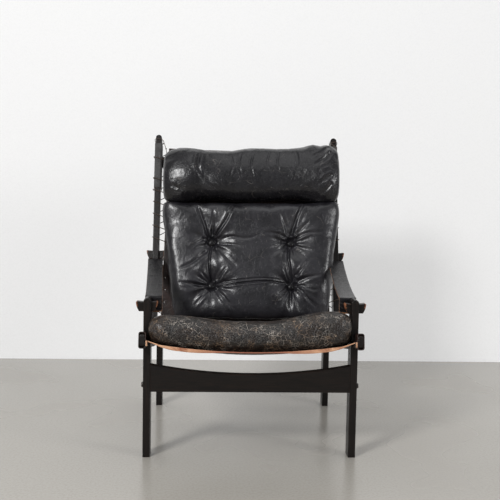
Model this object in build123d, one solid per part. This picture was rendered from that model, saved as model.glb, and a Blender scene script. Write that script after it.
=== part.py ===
from build123d import *
import math
import os

# High-backed safari chair: a black wooden frame with a sewn leather seat sling, a laced back sling,
# leather arm straps and three stuffed leather cushions.
# Lengths are in millimetres and angles in degrees. X runs across the chair, Y to the rear, Z up.
# Right is +X and left is -X, as seen by someone who stands in front of the chair.
# The chair is drawn from the front face of its front legs and is moved at the end, so that the
# origin lies on the floor under the middle of the whole chair.

os.makedirs("parts", exist_ok=True)

# Legs
leg_thick = 22.0
leg_depth = 50.0
leg_half_span = 322.5
front_leg_rise = 126.0
rear_leg_rise = 25.0
rear_leg_setback = 585.0
edge_round = 2.5

# Seat rails
rail_centre_height = 357.0
seat_slope = 10.25
rail_thick = 16.0
rail_tall = 44.0
rail_web = 7.5
rail_front_reach = 47.0
rail_rear_reach = 20.0
rail_corner = 12.0
rail_notch_gap = 1.5

# Stretchers
stretcher_thick = 22.0
stretcher_arris = 1.5
front_stretcher_drop = 157.0
front_stretcher_tall = 83.0
front_stretcher_waist = 55.0
rear_stretcher_drop = 20.0
rear_stretcher_tall = 38.0
rear_stretcher_arch = 5.0
butt_gap = 0.05

# Leaning back frame
hinge_setback = 420.0
back_recline = 16.0
back_forward_tip = 12.0
post_length = 745.0
post_thick = 22.0
post_depth = 44.0
post_overhang = 10.0
post_notch_gap = 0.8
post_face_gap = 0.3
back_rail_thick = 18.0
back_rail_tall = 40.0
upper_back_rail_place = 649.0
lower_back_rail_place = 246.0
back_rail_corner = 3.0

# Bolts, nuts, washers, dowels and screws
bolt_radius = 4.0
bolt_fit = 0.1
pivot_fit = 0.05
bolt_head_radius = 7.5
bolt_head_thick = 4.0
bolt_head_round = 1.6
socket_across = 5.0
socket_deep = 2.2
washer_radius = 9.5
washer_thick = 1.2
nut_radius = 8.0
nut_thick = 6.0
nut_slot_wide = 2.0
nut_slot_deep = 1.6
spare_hole_pitch = 18.3
spare_hole_count = 3
stretcher_bolt_reach = 42.0
stretcher_bolt_inset = 20.0
rear_bolt_recess = 5.6
barrel_nut_radius = 5.5
barrel_nut_long = 18.0
barrel_nut_inset = 28.0
dowel_radius = 4.0
dowel_long = 32.0
dowel_fit = 0.1
rear_bolt_drop = 9.0
rear_dowel_rise = 9.0
front_dowel_inset = 20.0
back_dowel_spacing = 18.0
screw_radius = 1.9
screw_head_radius = 4.2
screw_head_thick = 2.0
screw_long = 14.0
screw_fit = 0.3
screw_pilot_fit = 0.05

# Boat-shaped pegs that hold the arm straps
peg_top_long = 65.0
peg_bottom_long = 46.0
peg_tall = 30.0
peg_depth = 26.0
peg_hollow = 2.0
peg_end_swell = 2.5
peg_corner = 3.0
peg_round = 1.5
peg_fit = 0.2
front_peg_drop = 27.0
front_peg_shift = 2.0
rear_peg_place = 300.0

# Arm straps
strap_wide = 52.0
strap_thick = 4.0
strap_gap = 0.4
strap_front_inset = 52.5
strap_rear_inset = 38.0
strap_sag = 14.0
strap_bend = 4.5
strap_tail_reach = 22.0
strap_screw_pitch = 17.0
peg_screw_offset = 19.0
strap_slot_gap = 1.2
strap_span_steps = 6
strap_cushion_gap = 1.0

# Leather slings
sling_thick = 2.5
soft_gap = 0.3
seat_sling_rear = 470.0
seat_sling_sleeve_rear = 372.0
seat_sling_sag = 33.0
seat_sling_shoulder = 42.0
seat_sling_shoulder_drop = 14.0
seat_hem_tall = 9.0
seat_hem_thick = 3.0
seam_flap_tall = 17.0
seam_flap_thick = 4.5
leg_slit_gap = 1.5
back_sling_edge_depth = 18.0
back_sling_bow = 17.0
back_sling_bottom = 58.0
back_sling_top = 694.0
back_sling_bottom_inset = 34.5
back_sling_top_inset = 48.5
eyelet_inset = 9.0
eyelet_fit = 0.8

# Post sleeves and cords
sleeve_thick = 2.0
sleeve_bottom = 545.0
sleeve_top = 712.0
sleeve_slit_gap = 1.0
lace_radius = 1.5
lace_gap = 0.3
lace_standout = 3.4
lace_pitch = 44.0
lace_corner = 3.2
# Top hole and number of turns of each lacing
lace_top_place = 685.0
lace_top_turns = 1
lace_middle_place = 606.0
lace_middle_turns = 6
lace_bottom_place = 216.0
lace_bottom_turns = 3
# Where a turn passes the post's four edges, as shares of its drop
lace_drop_shares = (0.2, 0.4, 0.6, 0.8)
# A corner's arc uses up to this share of the shorter run beside it
corner_share = 0.45
knot_radius = 3.0
tie_radius = 1.1
tie_place = 722.0
tie_climb = 6.0
tie_fall = 72.0
tie_end_gap = 2.0

# Cushions
seat_pad_front = 64.0
seat_pad_rear = 458.0
seat_pad_inset = 16.5
seat_pad_shift = -4.0
seat_pad_crown = 92.0
seat_pad_side = 56.0
seat_pad_side_rise = 30.0
seat_pad_swell = 10.0
pad_leg_gap = 2.0
back_pad_bottom = 66.0
back_pad_top = 468.0
back_pad_inset = 21.5
back_pad_shift = 16.0
back_pad_crown = 88.0
back_pad_side = 52.0
back_pad_side_set = 29.5
back_pad_swell = 9.0
head_pad_rise = 5.0
head_pad_tall = 210.0
head_pad_inset = 14.5
head_pad_shift = 15.0
head_pad_thick = 98.0
head_pad_swell = 14.0
head_pad_back_swell = 1.5
button_radius = 12.0
button_thick = 7.0
button_round = 5.5
button_spacing_across = 278.0
button_spacing_up = 154.0
button_row_place = 255.0
tuft_depth = 24.0
tuft_mouth = 46.0
rear_button_radius = 11.0
rear_button_thick = 3.0
crease_wide = 13.0
crease_deep = 6.0
crease_bow = 9.0

# How each cushion draws in along its length: place along it, width and thickness, all as shares
seat_pad_place_shares = (0.0, 0.05, 0.16, 0.45, 0.78, 0.95, 1.0)
seat_pad_width_shares = (0.9, 0.97, 1.0, 0.985, 0.975, 0.95, 0.9)
seat_pad_thick_shares = (0.42, 0.8, 1.0, 1.0, 0.92, 0.68, 0.36)
back_pad_place_shares = (0.0, 0.05, 0.22, 0.5, 0.8, 0.96, 1.0)
back_pad_width_shares = (0.8, 0.85, 0.92, 0.97, 1.0, 1.0, 0.98)
back_pad_thick_shares = (0.4, 0.72, 1.0, 1.0, 1.0, 0.92, 0.7)
head_pad_place_shares = (-1.0, -0.94, -0.78, 0.0, 0.78, 0.94, 1.0)
head_pad_size_shares = (0.8, 0.94, 1.0, 0.98, 1.0, 0.94, 0.8)
head_pad_back_share = 0.70
head_pad_front_share = 0.60
# How far a drawn-in end rises towards the middle of the cushion's thickness
pad_lift_share = 0.42
# Creases sewn or worn into the back cushion: from and to, in half button spacings across and up,
# and the sideways bow
crease_shares = (
    ((-1.0, 1.0), (-1.0, -1.0), -1.0),
    ((1.0, 1.0), (1.0, -1.0), -1.0),
    ((-1.0, -1.0), (1.0, -1.0), 0.4),
    ((-1.95, -0.9), (-1.0, -1.0), 0.2),
    ((-1.37, 2.6), (-1.0, 1.0), 0.4),
    ((1.37, 2.6), (1.0, 1.0), -0.4),
)

overrun = 3.0

# Sizes worked out from the ones above
post_half_span = leg_half_span + post_overhang
seat_pad_half = leg_half_span - seat_pad_inset
back_pad_half = post_half_span - back_pad_inset
head_pad_half = post_half_span - head_pad_inset
back_sling_half_bottom = post_half_span - back_sling_bottom_inset
back_sling_half_top = post_half_span - back_sling_top_inset
strap_front_inner = leg_half_span - strap_front_inset
strap_rear_inner = post_half_span - strap_rear_inset
front_leg_height = rail_centre_height + front_leg_rise
front_peg_height = front_leg_height - front_peg_drop
front_stretcher_bottom = rail_centre_height - front_stretcher_drop
leg_inner = leg_half_span - leg_thick
leg_middle = leg_half_span - leg_thick / 2
rail_outer = leg_half_span + rail_web
rail_inner = rail_outer - rail_thick
post_inner = post_half_span - post_thick
post_middle = post_half_span - post_thick / 2
slope_sin = math.sin(math.radians(seat_slope))
slope_cos = math.cos(math.radians(seat_slope))
slope_tan = slope_sin / slope_cos
hinge_height = rail_centre_height - hinge_setback * slope_tan
rail_end_setback = rear_leg_setback + leg_depth + rail_rear_reach
rear_leg_rail_height = rail_centre_height - (rear_leg_setback + leg_depth / 2) * slope_tan
rear_leg_height = rear_leg_rail_height + rear_leg_rise
rear_stretcher_bottom = rear_leg_rail_height - rear_stretcher_drop
sleeve_wall = soft_gap + sling_thick
sling_edge_inner = rail_inner - sleeve_wall

# The seat frame's own axes run across, down the slope to the rear, and square to the slope.
seat_frame = Plane(origin=(0, 0, rail_centre_height), x_dir=(1, 0, 0), z_dir=(0, slope_sin, slope_cos))
# The back frame's own axes run across, to the rear, and up along the posts from the pivot.
recline_sin = math.sin(math.radians(back_recline))
recline_cos = math.cos(math.radians(back_recline))
back_frame = Plane(origin=(0, hinge_setback, hinge_height), x_dir=(1, 0, 0),
                   z_dir=(0, recline_sin, recline_cos))

pieces = {}


def block(x_span, y_span, z_span):
    """A box between two values on each axis."""
    sizes = [max(span) - min(span) for span in (x_span, y_span, z_span)]
    middles = [(max(span) + min(span)) / 2 for span in (x_span, y_span, z_span)]
    return Pos(*middles) * Box(*sizes)


def rod_x(x_from, x_to, y, z, radius):
    """A round rod along X."""
    return Pos((x_from + x_to) / 2, y, z) * Rot(0, 90, 0) * Cylinder(radius, abs(x_to - x_from))


def rod_y(x, y_from, y_to, z, radius):
    """A round rod along Y."""
    return Pos(x, (y_from + y_to) / 2, z) * Rot(90, 0, 0) * Cylinder(radius, abs(y_to - y_from))


def prism(edges, direction, length):
    """A closed flat outline pushed along a direction."""
    return extrude(Face(Wire(edges)), amount=length, dir=direction)


def outline(points):
    """The straight edges of a closed outline."""
    return [Line(points[i - 1], points[i]) for i in range(len(points))]


def mirrored(shape):
    """The same piece on the chair's left side."""
    return mirror(shape, about=Plane.YZ)


def both_sides(name, shape):
    """Keep a right-hand piece and its mirror image."""
    pieces[name + "_right"] = shape
    pieces[name + "_left"] = mirrored(shape)


def height_at(setback, offset=0.0):
    """Height of the rail's centre line at a setback, and of a line at an offset square to it."""
    return rail_centre_height - setback * slope_tan + offset / slope_cos


def in_back(x, depth, place):
    """A point of the back frame in the chair's own axes."""
    y = hinge_setback + place * recline_sin + depth * recline_cos
    z = hinge_height + place * recline_cos - depth * recline_sin
    return Vector(x, y, z)


# Bolts are drawn along X with their heads on the outside.
def bolt(head_face, tip, y, z):
    """A bolt with a low round head and a hexagon socket."""
    head = rod_x(head_face, head_face + bolt_head_thick, y, z, bolt_head_radius)
    rim = head.edges().filter_by(GeomType.CIRCLE).sort_by(Axis.X)[-1]
    head = fillet(rim, bolt_head_round)
    socket_face = Plane(origin=(head_face + bolt_head_thick, y, z), z_dir=(-1, 0, 0))
    socket = extrude(socket_face * RegularPolygon(socket_across / 2, 6), amount=socket_deep)
    return head + rod_x(tip, head_face, y, z, bolt_radius) - socket


def washer(face, y, z):
    """A flat washer whose inner face lies on the given face."""
    ring = rod_x(face, face + washer_thick, y, z, washer_radius)
    return ring - rod_x(face - overrun, face + washer_thick + overrun, y, z, bolt_radius + bolt_fit)


def nut(face, y, z):
    """A round slotted nut that lies flush in a counterbore, its open face at the given face."""
    body = rod_x(face, face + nut_thick, y, z, nut_radius)
    body -= rod_x(face - overrun, face + nut_thick + overrun, y, z, bolt_radius + bolt_fit)
    half = nut_slot_wide / 2
    slot = block((face - overrun, face + nut_slot_deep), (y - half, y + half),
                 (z - nut_radius - overrun, z + nut_radius + overrun))
    return body - slot


def nut_seat(face, y, z):
    """The counterbore for a nut."""
    return rod_x(face - overrun, face + nut_thick, y, z, nut_radius + bolt_fit)


def cross_hole(y, z, radius):
    """A hole right through a side member, along X."""
    return rod_x(leg_inner - overrun, rail_outer + overrun, y, z, radius)


def build_leg(height, front):
    """A right-hand leg with a round top."""
    top = height - leg_thick / 2
    edges = [
        Line((leg_inner, front, top), (leg_inner, front, 0)),
        Line((leg_inner, front, 0), (leg_half_span, front, 0)),
        Line((leg_half_span, front, 0), (leg_half_span, front, top)),
        ThreePointArc((leg_half_span, front, top), (leg_middle, front, height), (leg_inner, front, top)),
    ]
    leg = prism(edges, (0, 1, 0), leg_depth)
    rims = leg.edges().filter_by(lambda e: abs(e.center().Y - front - leg_depth / 2) > leg_depth / 4)
    rims = rims.filter_by(lambda e: e.center().Z > edge_round)
    return fillet(rims, edge_round)


def peg(middle_x):
    """A boat-shaped peg along X, its middle at depth 0 and height 0 of its own place."""
    top = peg_tall / 2
    long_half = peg_top_long / 2
    short_half = peg_bottom_long / 2
    swell = (long_half + short_half) / 2 + peg_end_swell
    front = -peg_depth / 2
    edges = [
        ThreePointArc((-long_half, front, top), (0, front, top - peg_hollow), (long_half, front, top)),
        ThreePointArc((long_half, front, top), (swell, front, 0), (short_half, front, -top)),
        Line((short_half, front, -top), (-short_half, front, -top)),
        ThreePointArc((-short_half, front, -top), (-swell, front, 0), (-long_half, front, top)),
    ]
    side_view = Face(Wire(edges))
    side_view = fillet(side_view.vertices(), peg_corner)
    boat = extrude(side_view, amount=peg_depth, dir=(0, 1, 0))
    rims = boat.edges().filter_by(lambda e: abs(e.center().Y) > peg_depth / 4)
    return Pos(middle_x, 0, 0) * fillet(rims, peg_round)


def peg_hole(x_from, x_to):
    """The mortise that a peg passes through, in the peg's own place."""
    half_depth = peg_depth / 2 + peg_fit
    half_tall = peg_tall / 2 + peg_fit
    return block((x_from, x_to), (-half_depth, half_depth), (-half_tall, half_tall))


# Front legs, with the peg's mortise, the rail bolt and the spare holes below it
leg_half_depth = leg_depth / 2
front_bolt_y = leg_half_depth
front_bolt_z = height_at(front_bolt_y)
rear_bolt_y = rear_leg_setback + leg_half_depth
rear_bolt_z = height_at(rear_bolt_y)
front_peg_seat = Pos(0, leg_half_depth, front_peg_height)
front_stretcher_bolt_z = front_stretcher_bottom + stretcher_bolt_inset
front_dowel_z = front_stretcher_bottom + front_stretcher_tall - front_dowel_inset
rear_stretcher_middle = rear_stretcher_bottom + rear_stretcher_tall / 2
rear_stretcher_bolt_z = rear_stretcher_middle - rear_bolt_drop
rear_dowel_z = rear_stretcher_middle + rear_dowel_rise
front_stretcher_y = stretcher_thick / 2
rear_stretcher_y = rear_leg_setback + leg_depth - stretcher_thick / 2 - rail_notch_gap

front_leg = build_leg(front_leg_height, 0)
front_leg -= front_peg_seat * peg_hole(leg_inner - overrun, leg_half_span + overrun)
front_leg -= cross_hole(front_bolt_y, front_bolt_z, bolt_radius + bolt_fit)
front_leg -= nut_seat(leg_inner, front_bolt_y, front_bolt_z)
for step in range(1, spare_hole_count + 1):
    front_leg -= cross_hole(front_bolt_y, front_bolt_z - step * spare_hole_pitch, bolt_radius + bolt_fit)
front_leg -= cross_hole(front_stretcher_y, front_stretcher_bolt_z, bolt_radius + bolt_fit)
dowel_in_leg = leg_inner + dowel_long / 2
front_leg -= rod_x(leg_inner - overrun, dowel_in_leg, front_stretcher_y, front_dowel_z,
                   dowel_radius + dowel_fit)

strap_screw_heights = [front_peg_height + side * strap_screw_pitch / 2 for side in (-1, 1)]
strap_face_y = leg_depth + strap_gap + strap_thick
for z in strap_screw_heights:
    front_leg -= rod_y(leg_middle, strap_face_y - screw_long - screw_fit, leg_depth + overrun, z,
                       screw_radius + screw_pilot_fit)

rear_leg = build_leg(rear_leg_height, rear_leg_setback)
rear_leg -= cross_hole(rear_bolt_y, rear_bolt_z, bolt_radius + bolt_fit)
rear_leg -= nut_seat(leg_inner, rear_bolt_y, rear_bolt_z)
rear_leg -= cross_hole(rear_stretcher_y, rear_stretcher_bolt_z, bolt_radius + bolt_fit)
rear_leg -= rod_x(leg_half_span - rear_bolt_recess, leg_half_span + overrun, rear_stretcher_y,
                  rear_stretcher_bolt_z, washer_radius + bolt_fit)
rear_leg -= rod_x(leg_inner - overrun, dowel_in_leg, rear_stretcher_y, rear_dowel_z,
                  dowel_radius + dowel_fit)

# Side rails: straight bars, thinned on the inside where they pass the legs and the post
rail_start = -rail_front_reach
rail_end = rail_end_setback / slope_cos
rail_half = rail_tall / 2
rail_bar = block((rail_inner, rail_outer), (rail_start, rail_end), (-rail_half, rail_half))
rail_bar = fillet(rail_bar.edges().filter_by(Axis.X), rail_corner)
rail_bar = fillet(rail_bar.edges().filter_by(lambda e: abs(e.center().X - (rail_inner + rail_outer) / 2)
                                             > rail_thick / 4), edge_round)
rail = seat_frame.location * rail_bar
for front in (0, rear_leg_setback):
    rail -= block((rail_inner - overrun, leg_half_span), (front - rail_notch_gap,
                  front + leg_depth + rail_notch_gap), (0, front_leg_height))


def post_sweep(angle):
    """The room that a post fills near the pivot, with the back tipped forward by an angle."""
    half = post_depth / 2 + post_notch_gap
    reach = rail_tall + overrun
    room = block((rail_inner - overrun, leg_half_span), (-half, half), (0, reach))
    room += rod_x(rail_inner - overrun, leg_half_span, 0, 0, half)
    return back_frame.location * Rot(angle, 0, 0) * room


rail -= post_sweep(0) + post_sweep(back_forward_tip / 2) + post_sweep(back_forward_tip)
rail -= cross_hole(front_bolt_y, front_bolt_z, bolt_radius + bolt_fit)
rail -= cross_hole(rear_bolt_y, rear_bolt_z, bolt_radius + bolt_fit)
rail -= cross_hole(hinge_setback, hinge_height, bolt_radius + bolt_fit)

both_sides("front_leg", front_leg)
both_sides("rear_leg", rear_leg)
both_sides("seat_rail", rail)
both_sides("front_arm_peg", front_peg_seat * peg(leg_middle + front_peg_shift))

# Stretchers between the legs
stretcher_half = leg_inner - butt_gap
front_top = front_stretcher_bottom + front_stretcher_tall
front_waist = front_stretcher_bottom + front_stretcher_waist
front_edges = [
    ThreePointArc((-stretcher_half, 0, front_top), (0, 0, front_waist), (stretcher_half, 0, front_top)),
    Line((stretcher_half, 0, front_top), (stretcher_half, 0, front_stretcher_bottom)),
    Line((stretcher_half, 0, front_stretcher_bottom), (-stretcher_half, 0, front_stretcher_bottom)),
    Line((-stretcher_half, 0, front_stretcher_bottom), (-stretcher_half, 0, front_top)),
]
rear_top = rear_stretcher_bottom + rear_stretcher_tall
rear_front = rear_stretcher_y - stretcher_thick / 2
rear_arch = rear_stretcher_bottom + rear_stretcher_arch
rear_edges = [
    Line((-stretcher_half, rear_front, rear_top), (stretcher_half, rear_front, rear_top)),
    Line((stretcher_half, rear_front, rear_top), (stretcher_half, rear_front, rear_stretcher_bottom)),
    ThreePointArc((stretcher_half, rear_front, rear_stretcher_bottom), (0, rear_front, rear_arch),
                  (-stretcher_half, rear_front, rear_stretcher_bottom)),
    Line((-stretcher_half, rear_front, rear_stretcher_bottom), (-stretcher_half, rear_front, rear_top)),
]


def build_stretcher(edges, y, bolt_z, dowel_z):
    """A board between the legs, bored for its bolts, barrel nuts and dowels."""
    board = prism(edges, (0, 1, 0), stretcher_thick)
    board = chamfer(board.edges().filter_by(lambda e: e.length > leg_inner), stretcher_arris)
    for side in (-1, 1):
        tip = side * (leg_inner - stretcher_bolt_reach - overrun)
        board -= rod_x(tip, side * (leg_inner + overrun), y, bolt_z, bolt_radius + bolt_fit)
        board -= rod_y(side * (leg_inner - barrel_nut_inset), y - barrel_nut_long / 2,
                       y + stretcher_thick, bolt_z, barrel_nut_radius + bolt_fit)
        board -= rod_x(side * (leg_inner - dowel_long / 2), side * (leg_inner + overrun), y, dowel_z,
                       dowel_radius + dowel_fit)
    return board


pieces["front_stretcher"] = build_stretcher(front_edges, front_stretcher_y, front_stretcher_bolt_z,
                                            front_dowel_z)
pieces["rear_stretcher"] = build_stretcher(rear_edges, rear_stretcher_y, rear_stretcher_bolt_z,
                                           rear_dowel_z)

stretcher_bolts = []
stretcher_washers = []
barrel_nuts = []
stretcher_dowels = []
# The rear bolts' heads lie in the legs, because the seat rails cover them.
for y, bolt_z, dowel_z, seat in (
        (front_stretcher_y, front_stretcher_bolt_z, front_dowel_z, leg_half_span),
        (rear_stretcher_y, rear_stretcher_bolt_z, rear_dowel_z, leg_half_span - rear_bolt_recess)):
    stretcher_washers.append(washer(seat, y, bolt_z))
    stretcher_bolts.append(bolt(seat + washer_thick, leg_inner - stretcher_bolt_reach, y, bolt_z))
    barrel = rod_y(leg_inner - barrel_nut_inset, y - barrel_nut_long / 2, y + barrel_nut_long / 2,
                   bolt_z, barrel_nut_radius)
    barrel -= rod_x(leg_inner - stretcher_bolt_reach - overrun, leg_inner, y, bolt_z,
                    bolt_radius + bolt_fit)
    barrel_nuts.append(barrel)
    half_dowel = dowel_long / 2 - bolt_fit
    stretcher_dowels.append(rod_x(leg_inner - half_dowel, leg_inner + half_dowel, y, dowel_z,
                                  dowel_radius))


def keep_group(name, shapes):
    """Keep like fasteners of both sides as one node of separate solids."""
    solids = [solid for shape in shapes for solid in shape.solids()]
    solids += [solid for shape in shapes for solid in mirrored(shape).solids()]
    pieces[name] = Compound(children=solids)


keep_group("stretcher_bolts", stretcher_bolts)
keep_group("stretcher_washers", stretcher_washers)
keep_group("barrel_nuts", barrel_nuts)
keep_group("stretcher_dowels", stretcher_dowels)

# Rail bolts through rail and leg, and the pivot bolts that the back turns on
rail_places = ((front_bolt_y, front_bolt_z), (rear_bolt_y, rear_bolt_z))
bolt_seat = rail_outer + washer_thick
keep_group("rail_bolts", [bolt(bolt_seat, leg_inner + nut_slot_deep, y, z) for y, z in rail_places])
keep_group("rail_nuts", [nut(leg_inner, y, z) for y, z in rail_places])
pivot_nut_face = post_inner - post_face_gap - nut_thick
both_sides("pivot_bolt", bolt(bolt_seat, pivot_nut_face + nut_slot_deep, hinge_setback, hinge_height))
both_sides("pivot_nut", nut(pivot_nut_face, hinge_setback, hinge_height))
washer_places = rail_places + ((hinge_setback, hinge_height),)
keep_group("rail_washers", [washer(rail_outer, y, z) for y, z in washer_places])

# Back posts: leaning bars with a round top and a round foot about the pivot, thinned on the
# outside where they cross the rail
post_half = post_depth / 2
side_edges = [
    Line((post_inner, -post_half, 0), (post_inner, -post_half, post_length)),
    Line((post_inner, -post_half, post_length), (post_inner, post_half, post_length)),
    Line((post_inner, post_half, post_length), (post_inner, post_half, 0)),
    ThreePointArc((post_inner, post_half, 0), (post_inner, 0, -post_half), (post_inner, -post_half, 0)),
]
post_round = post_thick / 2
front_view = [
    Line((post_inner, -post_half, -post_half), (post_half_span, -post_half, -post_half)),
    Line((post_half_span, -post_half, -post_half), (post_half_span, -post_half, post_length - post_round)),
    ThreePointArc((post_half_span, -post_half, post_length - post_round),
                  (post_middle, -post_half, post_length),
                  (post_inner, -post_half, post_length - post_round)),
    Line((post_inner, -post_half, post_length - post_round), (post_inner, -post_half, -post_half)),
]
post = prism(front_view, (0, 1, 0), post_depth) & prism(side_edges, (1, 0, 0), post_thick)
long_rims = post.edges().filter_by(lambda e: e.center().Z > post_half
                                   and abs(abs(e.center().Y) - post_half) < edge_round)
post = fillet(long_rims, edge_round)
web_face = leg_half_span - post_face_gap
tilt_room = post_half * math.tan(math.radians(back_forward_tip))
notch_top = rail_half / math.cos(math.radians(back_forward_tip)) + tilt_room
post -= block((web_face, post_half_span + overrun), (-post_depth, post_depth), (-post_depth, notch_top))
post -= rod_x(post_inner - overrun, post_half_span, 0, 0, bolt_radius + pivot_fit)
rear_peg_seat = Pos(0, 0, rear_peg_place)
post -= rear_peg_seat * peg_hole(post_inner - overrun, post_half_span + overrun)

# Back rails between the posts, at the rear of their depth
back_rail_half = post_inner - butt_gap
rail_back_face = post_half
back_rail_middle = rail_back_face - back_rail_thick / 2
back_dowels = []


def build_back_rail(place):
    """A cross rail between the posts, bored for two dowels at each end."""
    half_tall = back_rail_tall / 2
    board = block((-back_rail_half, back_rail_half), (rail_back_face - back_rail_thick, rail_back_face),
                  (place - half_tall, place + half_tall))
    board = fillet(board.edges().filter_by(Axis.X), back_rail_corner)
    for rise in (-back_dowel_spacing / 2, back_dowel_spacing / 2):
        for side in (-1, 1):
            board -= rod_x(side * (post_inner - dowel_long / 2), side * (post_inner + overrun),
                           back_rail_middle, place + rise, dowel_radius + dowel_fit)
    return board


for place in (upper_back_rail_place, lower_back_rail_place):
    for rise in (-back_dowel_spacing / 2, back_dowel_spacing / 2):
        post -= rod_x(post_inner - overrun, post_inner + dowel_long / 2, back_rail_middle, place + rise,
                      dowel_radius + dowel_fit)
        back_dowels.append(rod_x(post_inner - dowel_long / 2 + bolt_fit,
                                 post_inner + dowel_long / 2 - bolt_fit,
                                 back_rail_middle, place + rise, dowel_radius))

both_sides("back_post", back_frame.location * post)
pieces["upper_back_rail"] = back_frame.location * build_back_rail(upper_back_rail_place)
pieces["lower_back_rail"] = back_frame.location * build_back_rail(lower_back_rail_place)
keep_group("back_dowels", [back_frame.location * dowel for dowel in back_dowels])
peg_screw_face = peg_depth / 2 + strap_gap + strap_thick
peg_screw_places = [post_middle + side * peg_screw_offset for side in (-1, 1)]
rear_peg = peg(post_middle)
for x in peg_screw_places:
    rear_peg -= rod_y(x, peg_screw_face - screw_long - screw_fit, peg_depth, 0,
                      screw_radius + screw_pilot_fit)
both_sides("rear_arm_peg", back_frame.location * rear_peg_seat * rear_peg)

# Seat sling: leather sewn into a sleeve round each rail, with a sagging sheet between
shoulder_x = sling_edge_inner - seat_sling_shoulder
sheet_edge = sling_edge_inner + sling_thick / 2


def sheet_section(y, thick):
    """The sling's sheet between its sleeves, as a closed outline at a place down the slope."""
    upper = [(-sheet_edge, y, 0), (-shoulder_x, y, -seat_sling_shoulder_drop),
             (0, y, -seat_sling_sag), (shoulder_x, y, -seat_sling_shoulder_drop), (sheet_edge, y, 0)]
    lower = [(x, y, z - thick) for x, y, z in upper]
    return [
        Line(upper[0], upper[1]), ThreePointArc(*upper[1:4]), Line(upper[3], upper[4]),
        Line(upper[4], lower[4]),
        Line(lower[4], lower[3]), ThreePointArc(lower[3], lower[2], lower[1]), Line(lower[1], lower[0]),
        Line(lower[0], upper[0]),
    ]


def sleeve_ring(x_inner, x_outer, half_tall, y_from, y_to, wall):
    """A tube of leather round a bar, along Y."""
    gap = soft_gap
    outer = block((x_inner - gap - wall, x_outer + gap + wall), (y_from, y_to),
                  (-half_tall - gap - wall, half_tall + gap + wall))
    inner = block((x_inner - gap, x_outer + gap), (y_from - overrun, y_to + overrun),
                  (-half_tall - gap, half_tall + gap))
    outer = fillet(outer.edges().filter_by(Axis.Y), edge_round + gap + wall)
    inner = fillet(inner.edges().filter_by(Axis.Y), edge_round + gap)
    return outer - inner


sheet_front = rail_start - soft_gap
seat_sheet = prism(sheet_section(sheet_front, sling_thick), (0, 1, 0), seat_sling_rear - sheet_front)
seat_sheet += prism(sheet_section(sheet_front, seat_hem_tall), (0, 1, 0), seat_hem_thick)
for side in (-1, 1):
    low, high = sorted((side * rail_inner, side * rail_outer))
    seat_sheet += sleeve_ring(low, high, rail_half, sheet_front, seat_sling_sleeve_rear, sling_thick)
    flap_outer = side * (sling_edge_inner + sling_thick / 2)
    flap_inner = side * (sling_edge_inner - seam_flap_thick)
    seat_sheet += block((flap_outer, flap_inner), (sheet_front, seat_sling_sleeve_rear),
                        (-seam_flap_tall, 0))
seat_sling = seat_frame.location * seat_sheet
slit_inner = leg_inner - leg_slit_gap
leg_room = ((slit_inner, rail_outer + rail_thick), (-leg_slit_gap, leg_depth + leg_slit_gap),
            (0, front_leg_height))
post_room = ((post_inner - nut_thick - leg_slit_gap, rail_outer + rail_thick),
             (seat_sling_sleeve_rear * slope_cos, rail_end_setback), (0, front_leg_height))
for room in (leg_room, post_room):
    seat_sling -= block(*room)
    seat_sling -= mirrored(block(*room))
pieces["seat_sling"] = seat_sling

# Back sling: one sheet with straight tapered edges, punched for the lacing
back_sling_front = -back_sling_edge_depth


def back_sheet_section(place):
    """The back sling's section across, bowed to the rear between its edges."""
    half = back_sling_half_bottom
    upper = [(-half, back_sling_front, place), (0, back_sling_front + back_sling_bow, place),
             (half, back_sling_front, place)]
    lower = [(x, y - sling_thick, z) for x, y, z in upper]
    return [ThreePointArc(*upper), Line(upper[2], lower[2]),
            ThreePointArc(lower[2], lower[1], lower[0]), Line(lower[0], upper[0])]


def sling_half_at(place):
    """Half the back sling's width at a place along the posts."""
    share = (place - back_sling_bottom) / (back_sling_top - back_sling_bottom)
    return back_sling_half_bottom + share * (back_sling_half_top - back_sling_half_bottom)


def sling_depth_at(x):
    """Depth of the middle of the back sling's leather at a distance from its middle."""
    half = back_sling_half_bottom
    radius = (half * half + back_sling_bow * back_sling_bow) / (2 * back_sling_bow)
    drop = radius - math.sqrt(radius * radius - x * x)
    return back_sling_front + back_sling_bow - drop - sling_thick / 2


back_sheet = prism(back_sheet_section(back_sling_bottom), (0, 0, 1), back_sling_top - back_sling_bottom)
taper_cut = prism(outline([
    (back_sling_half_bottom, -post_depth, back_sling_bottom),
    (back_sling_half_bottom + post_depth, -post_depth, back_sling_bottom),
    (back_sling_half_bottom + post_depth, -post_depth, back_sling_top),
    (back_sling_half_top, -post_depth, back_sling_top)]), (0, 1, 0), 2 * post_depth)
back_sheet -= taper_cut
back_sheet -= mirrored(taper_cut)

# Lacing: each cord runs round the post and through a row of holes in the sling's edge
sleeve_stand = soft_gap + sleeve_thick


def lace_stand(place):
    """How far the lacing's centre line stands off the post's faces."""
    over_sleeve = sleeve_stand if place > sleeve_bottom - lace_pitch / 2 else 0.0
    return lace_radius + lace_gap + over_sleeve


def lace_points(start, turns):
    """Corner points of one lacing, from its top hole downward, with the holes that it uses."""
    points = []
    holes = []
    for turn in range(turns + 1):
        place = start - turn * lace_pitch
        hole_x = sling_half_at(place) - eyelet_inset
        hole_depth = sling_depth_at(hole_x)
        holes.append((hole_x, place))
        points.append((hole_x, hole_depth - lace_standout, place))
        points.append((hole_x, hole_depth + lace_standout, place))
        if turn < turns:
            stand = lace_stand(place)
            low = post_inner - stand
            high = post_half_span + stand
            edge = post_half + stand
            corners = ((low, edge), (high, edge), (high, -edge), (low, -edge))
            for (x, depth), drop_share in zip(corners, lace_drop_shares):
                points.append((x, depth, place - drop_share * lace_pitch))
    return points, holes


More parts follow.
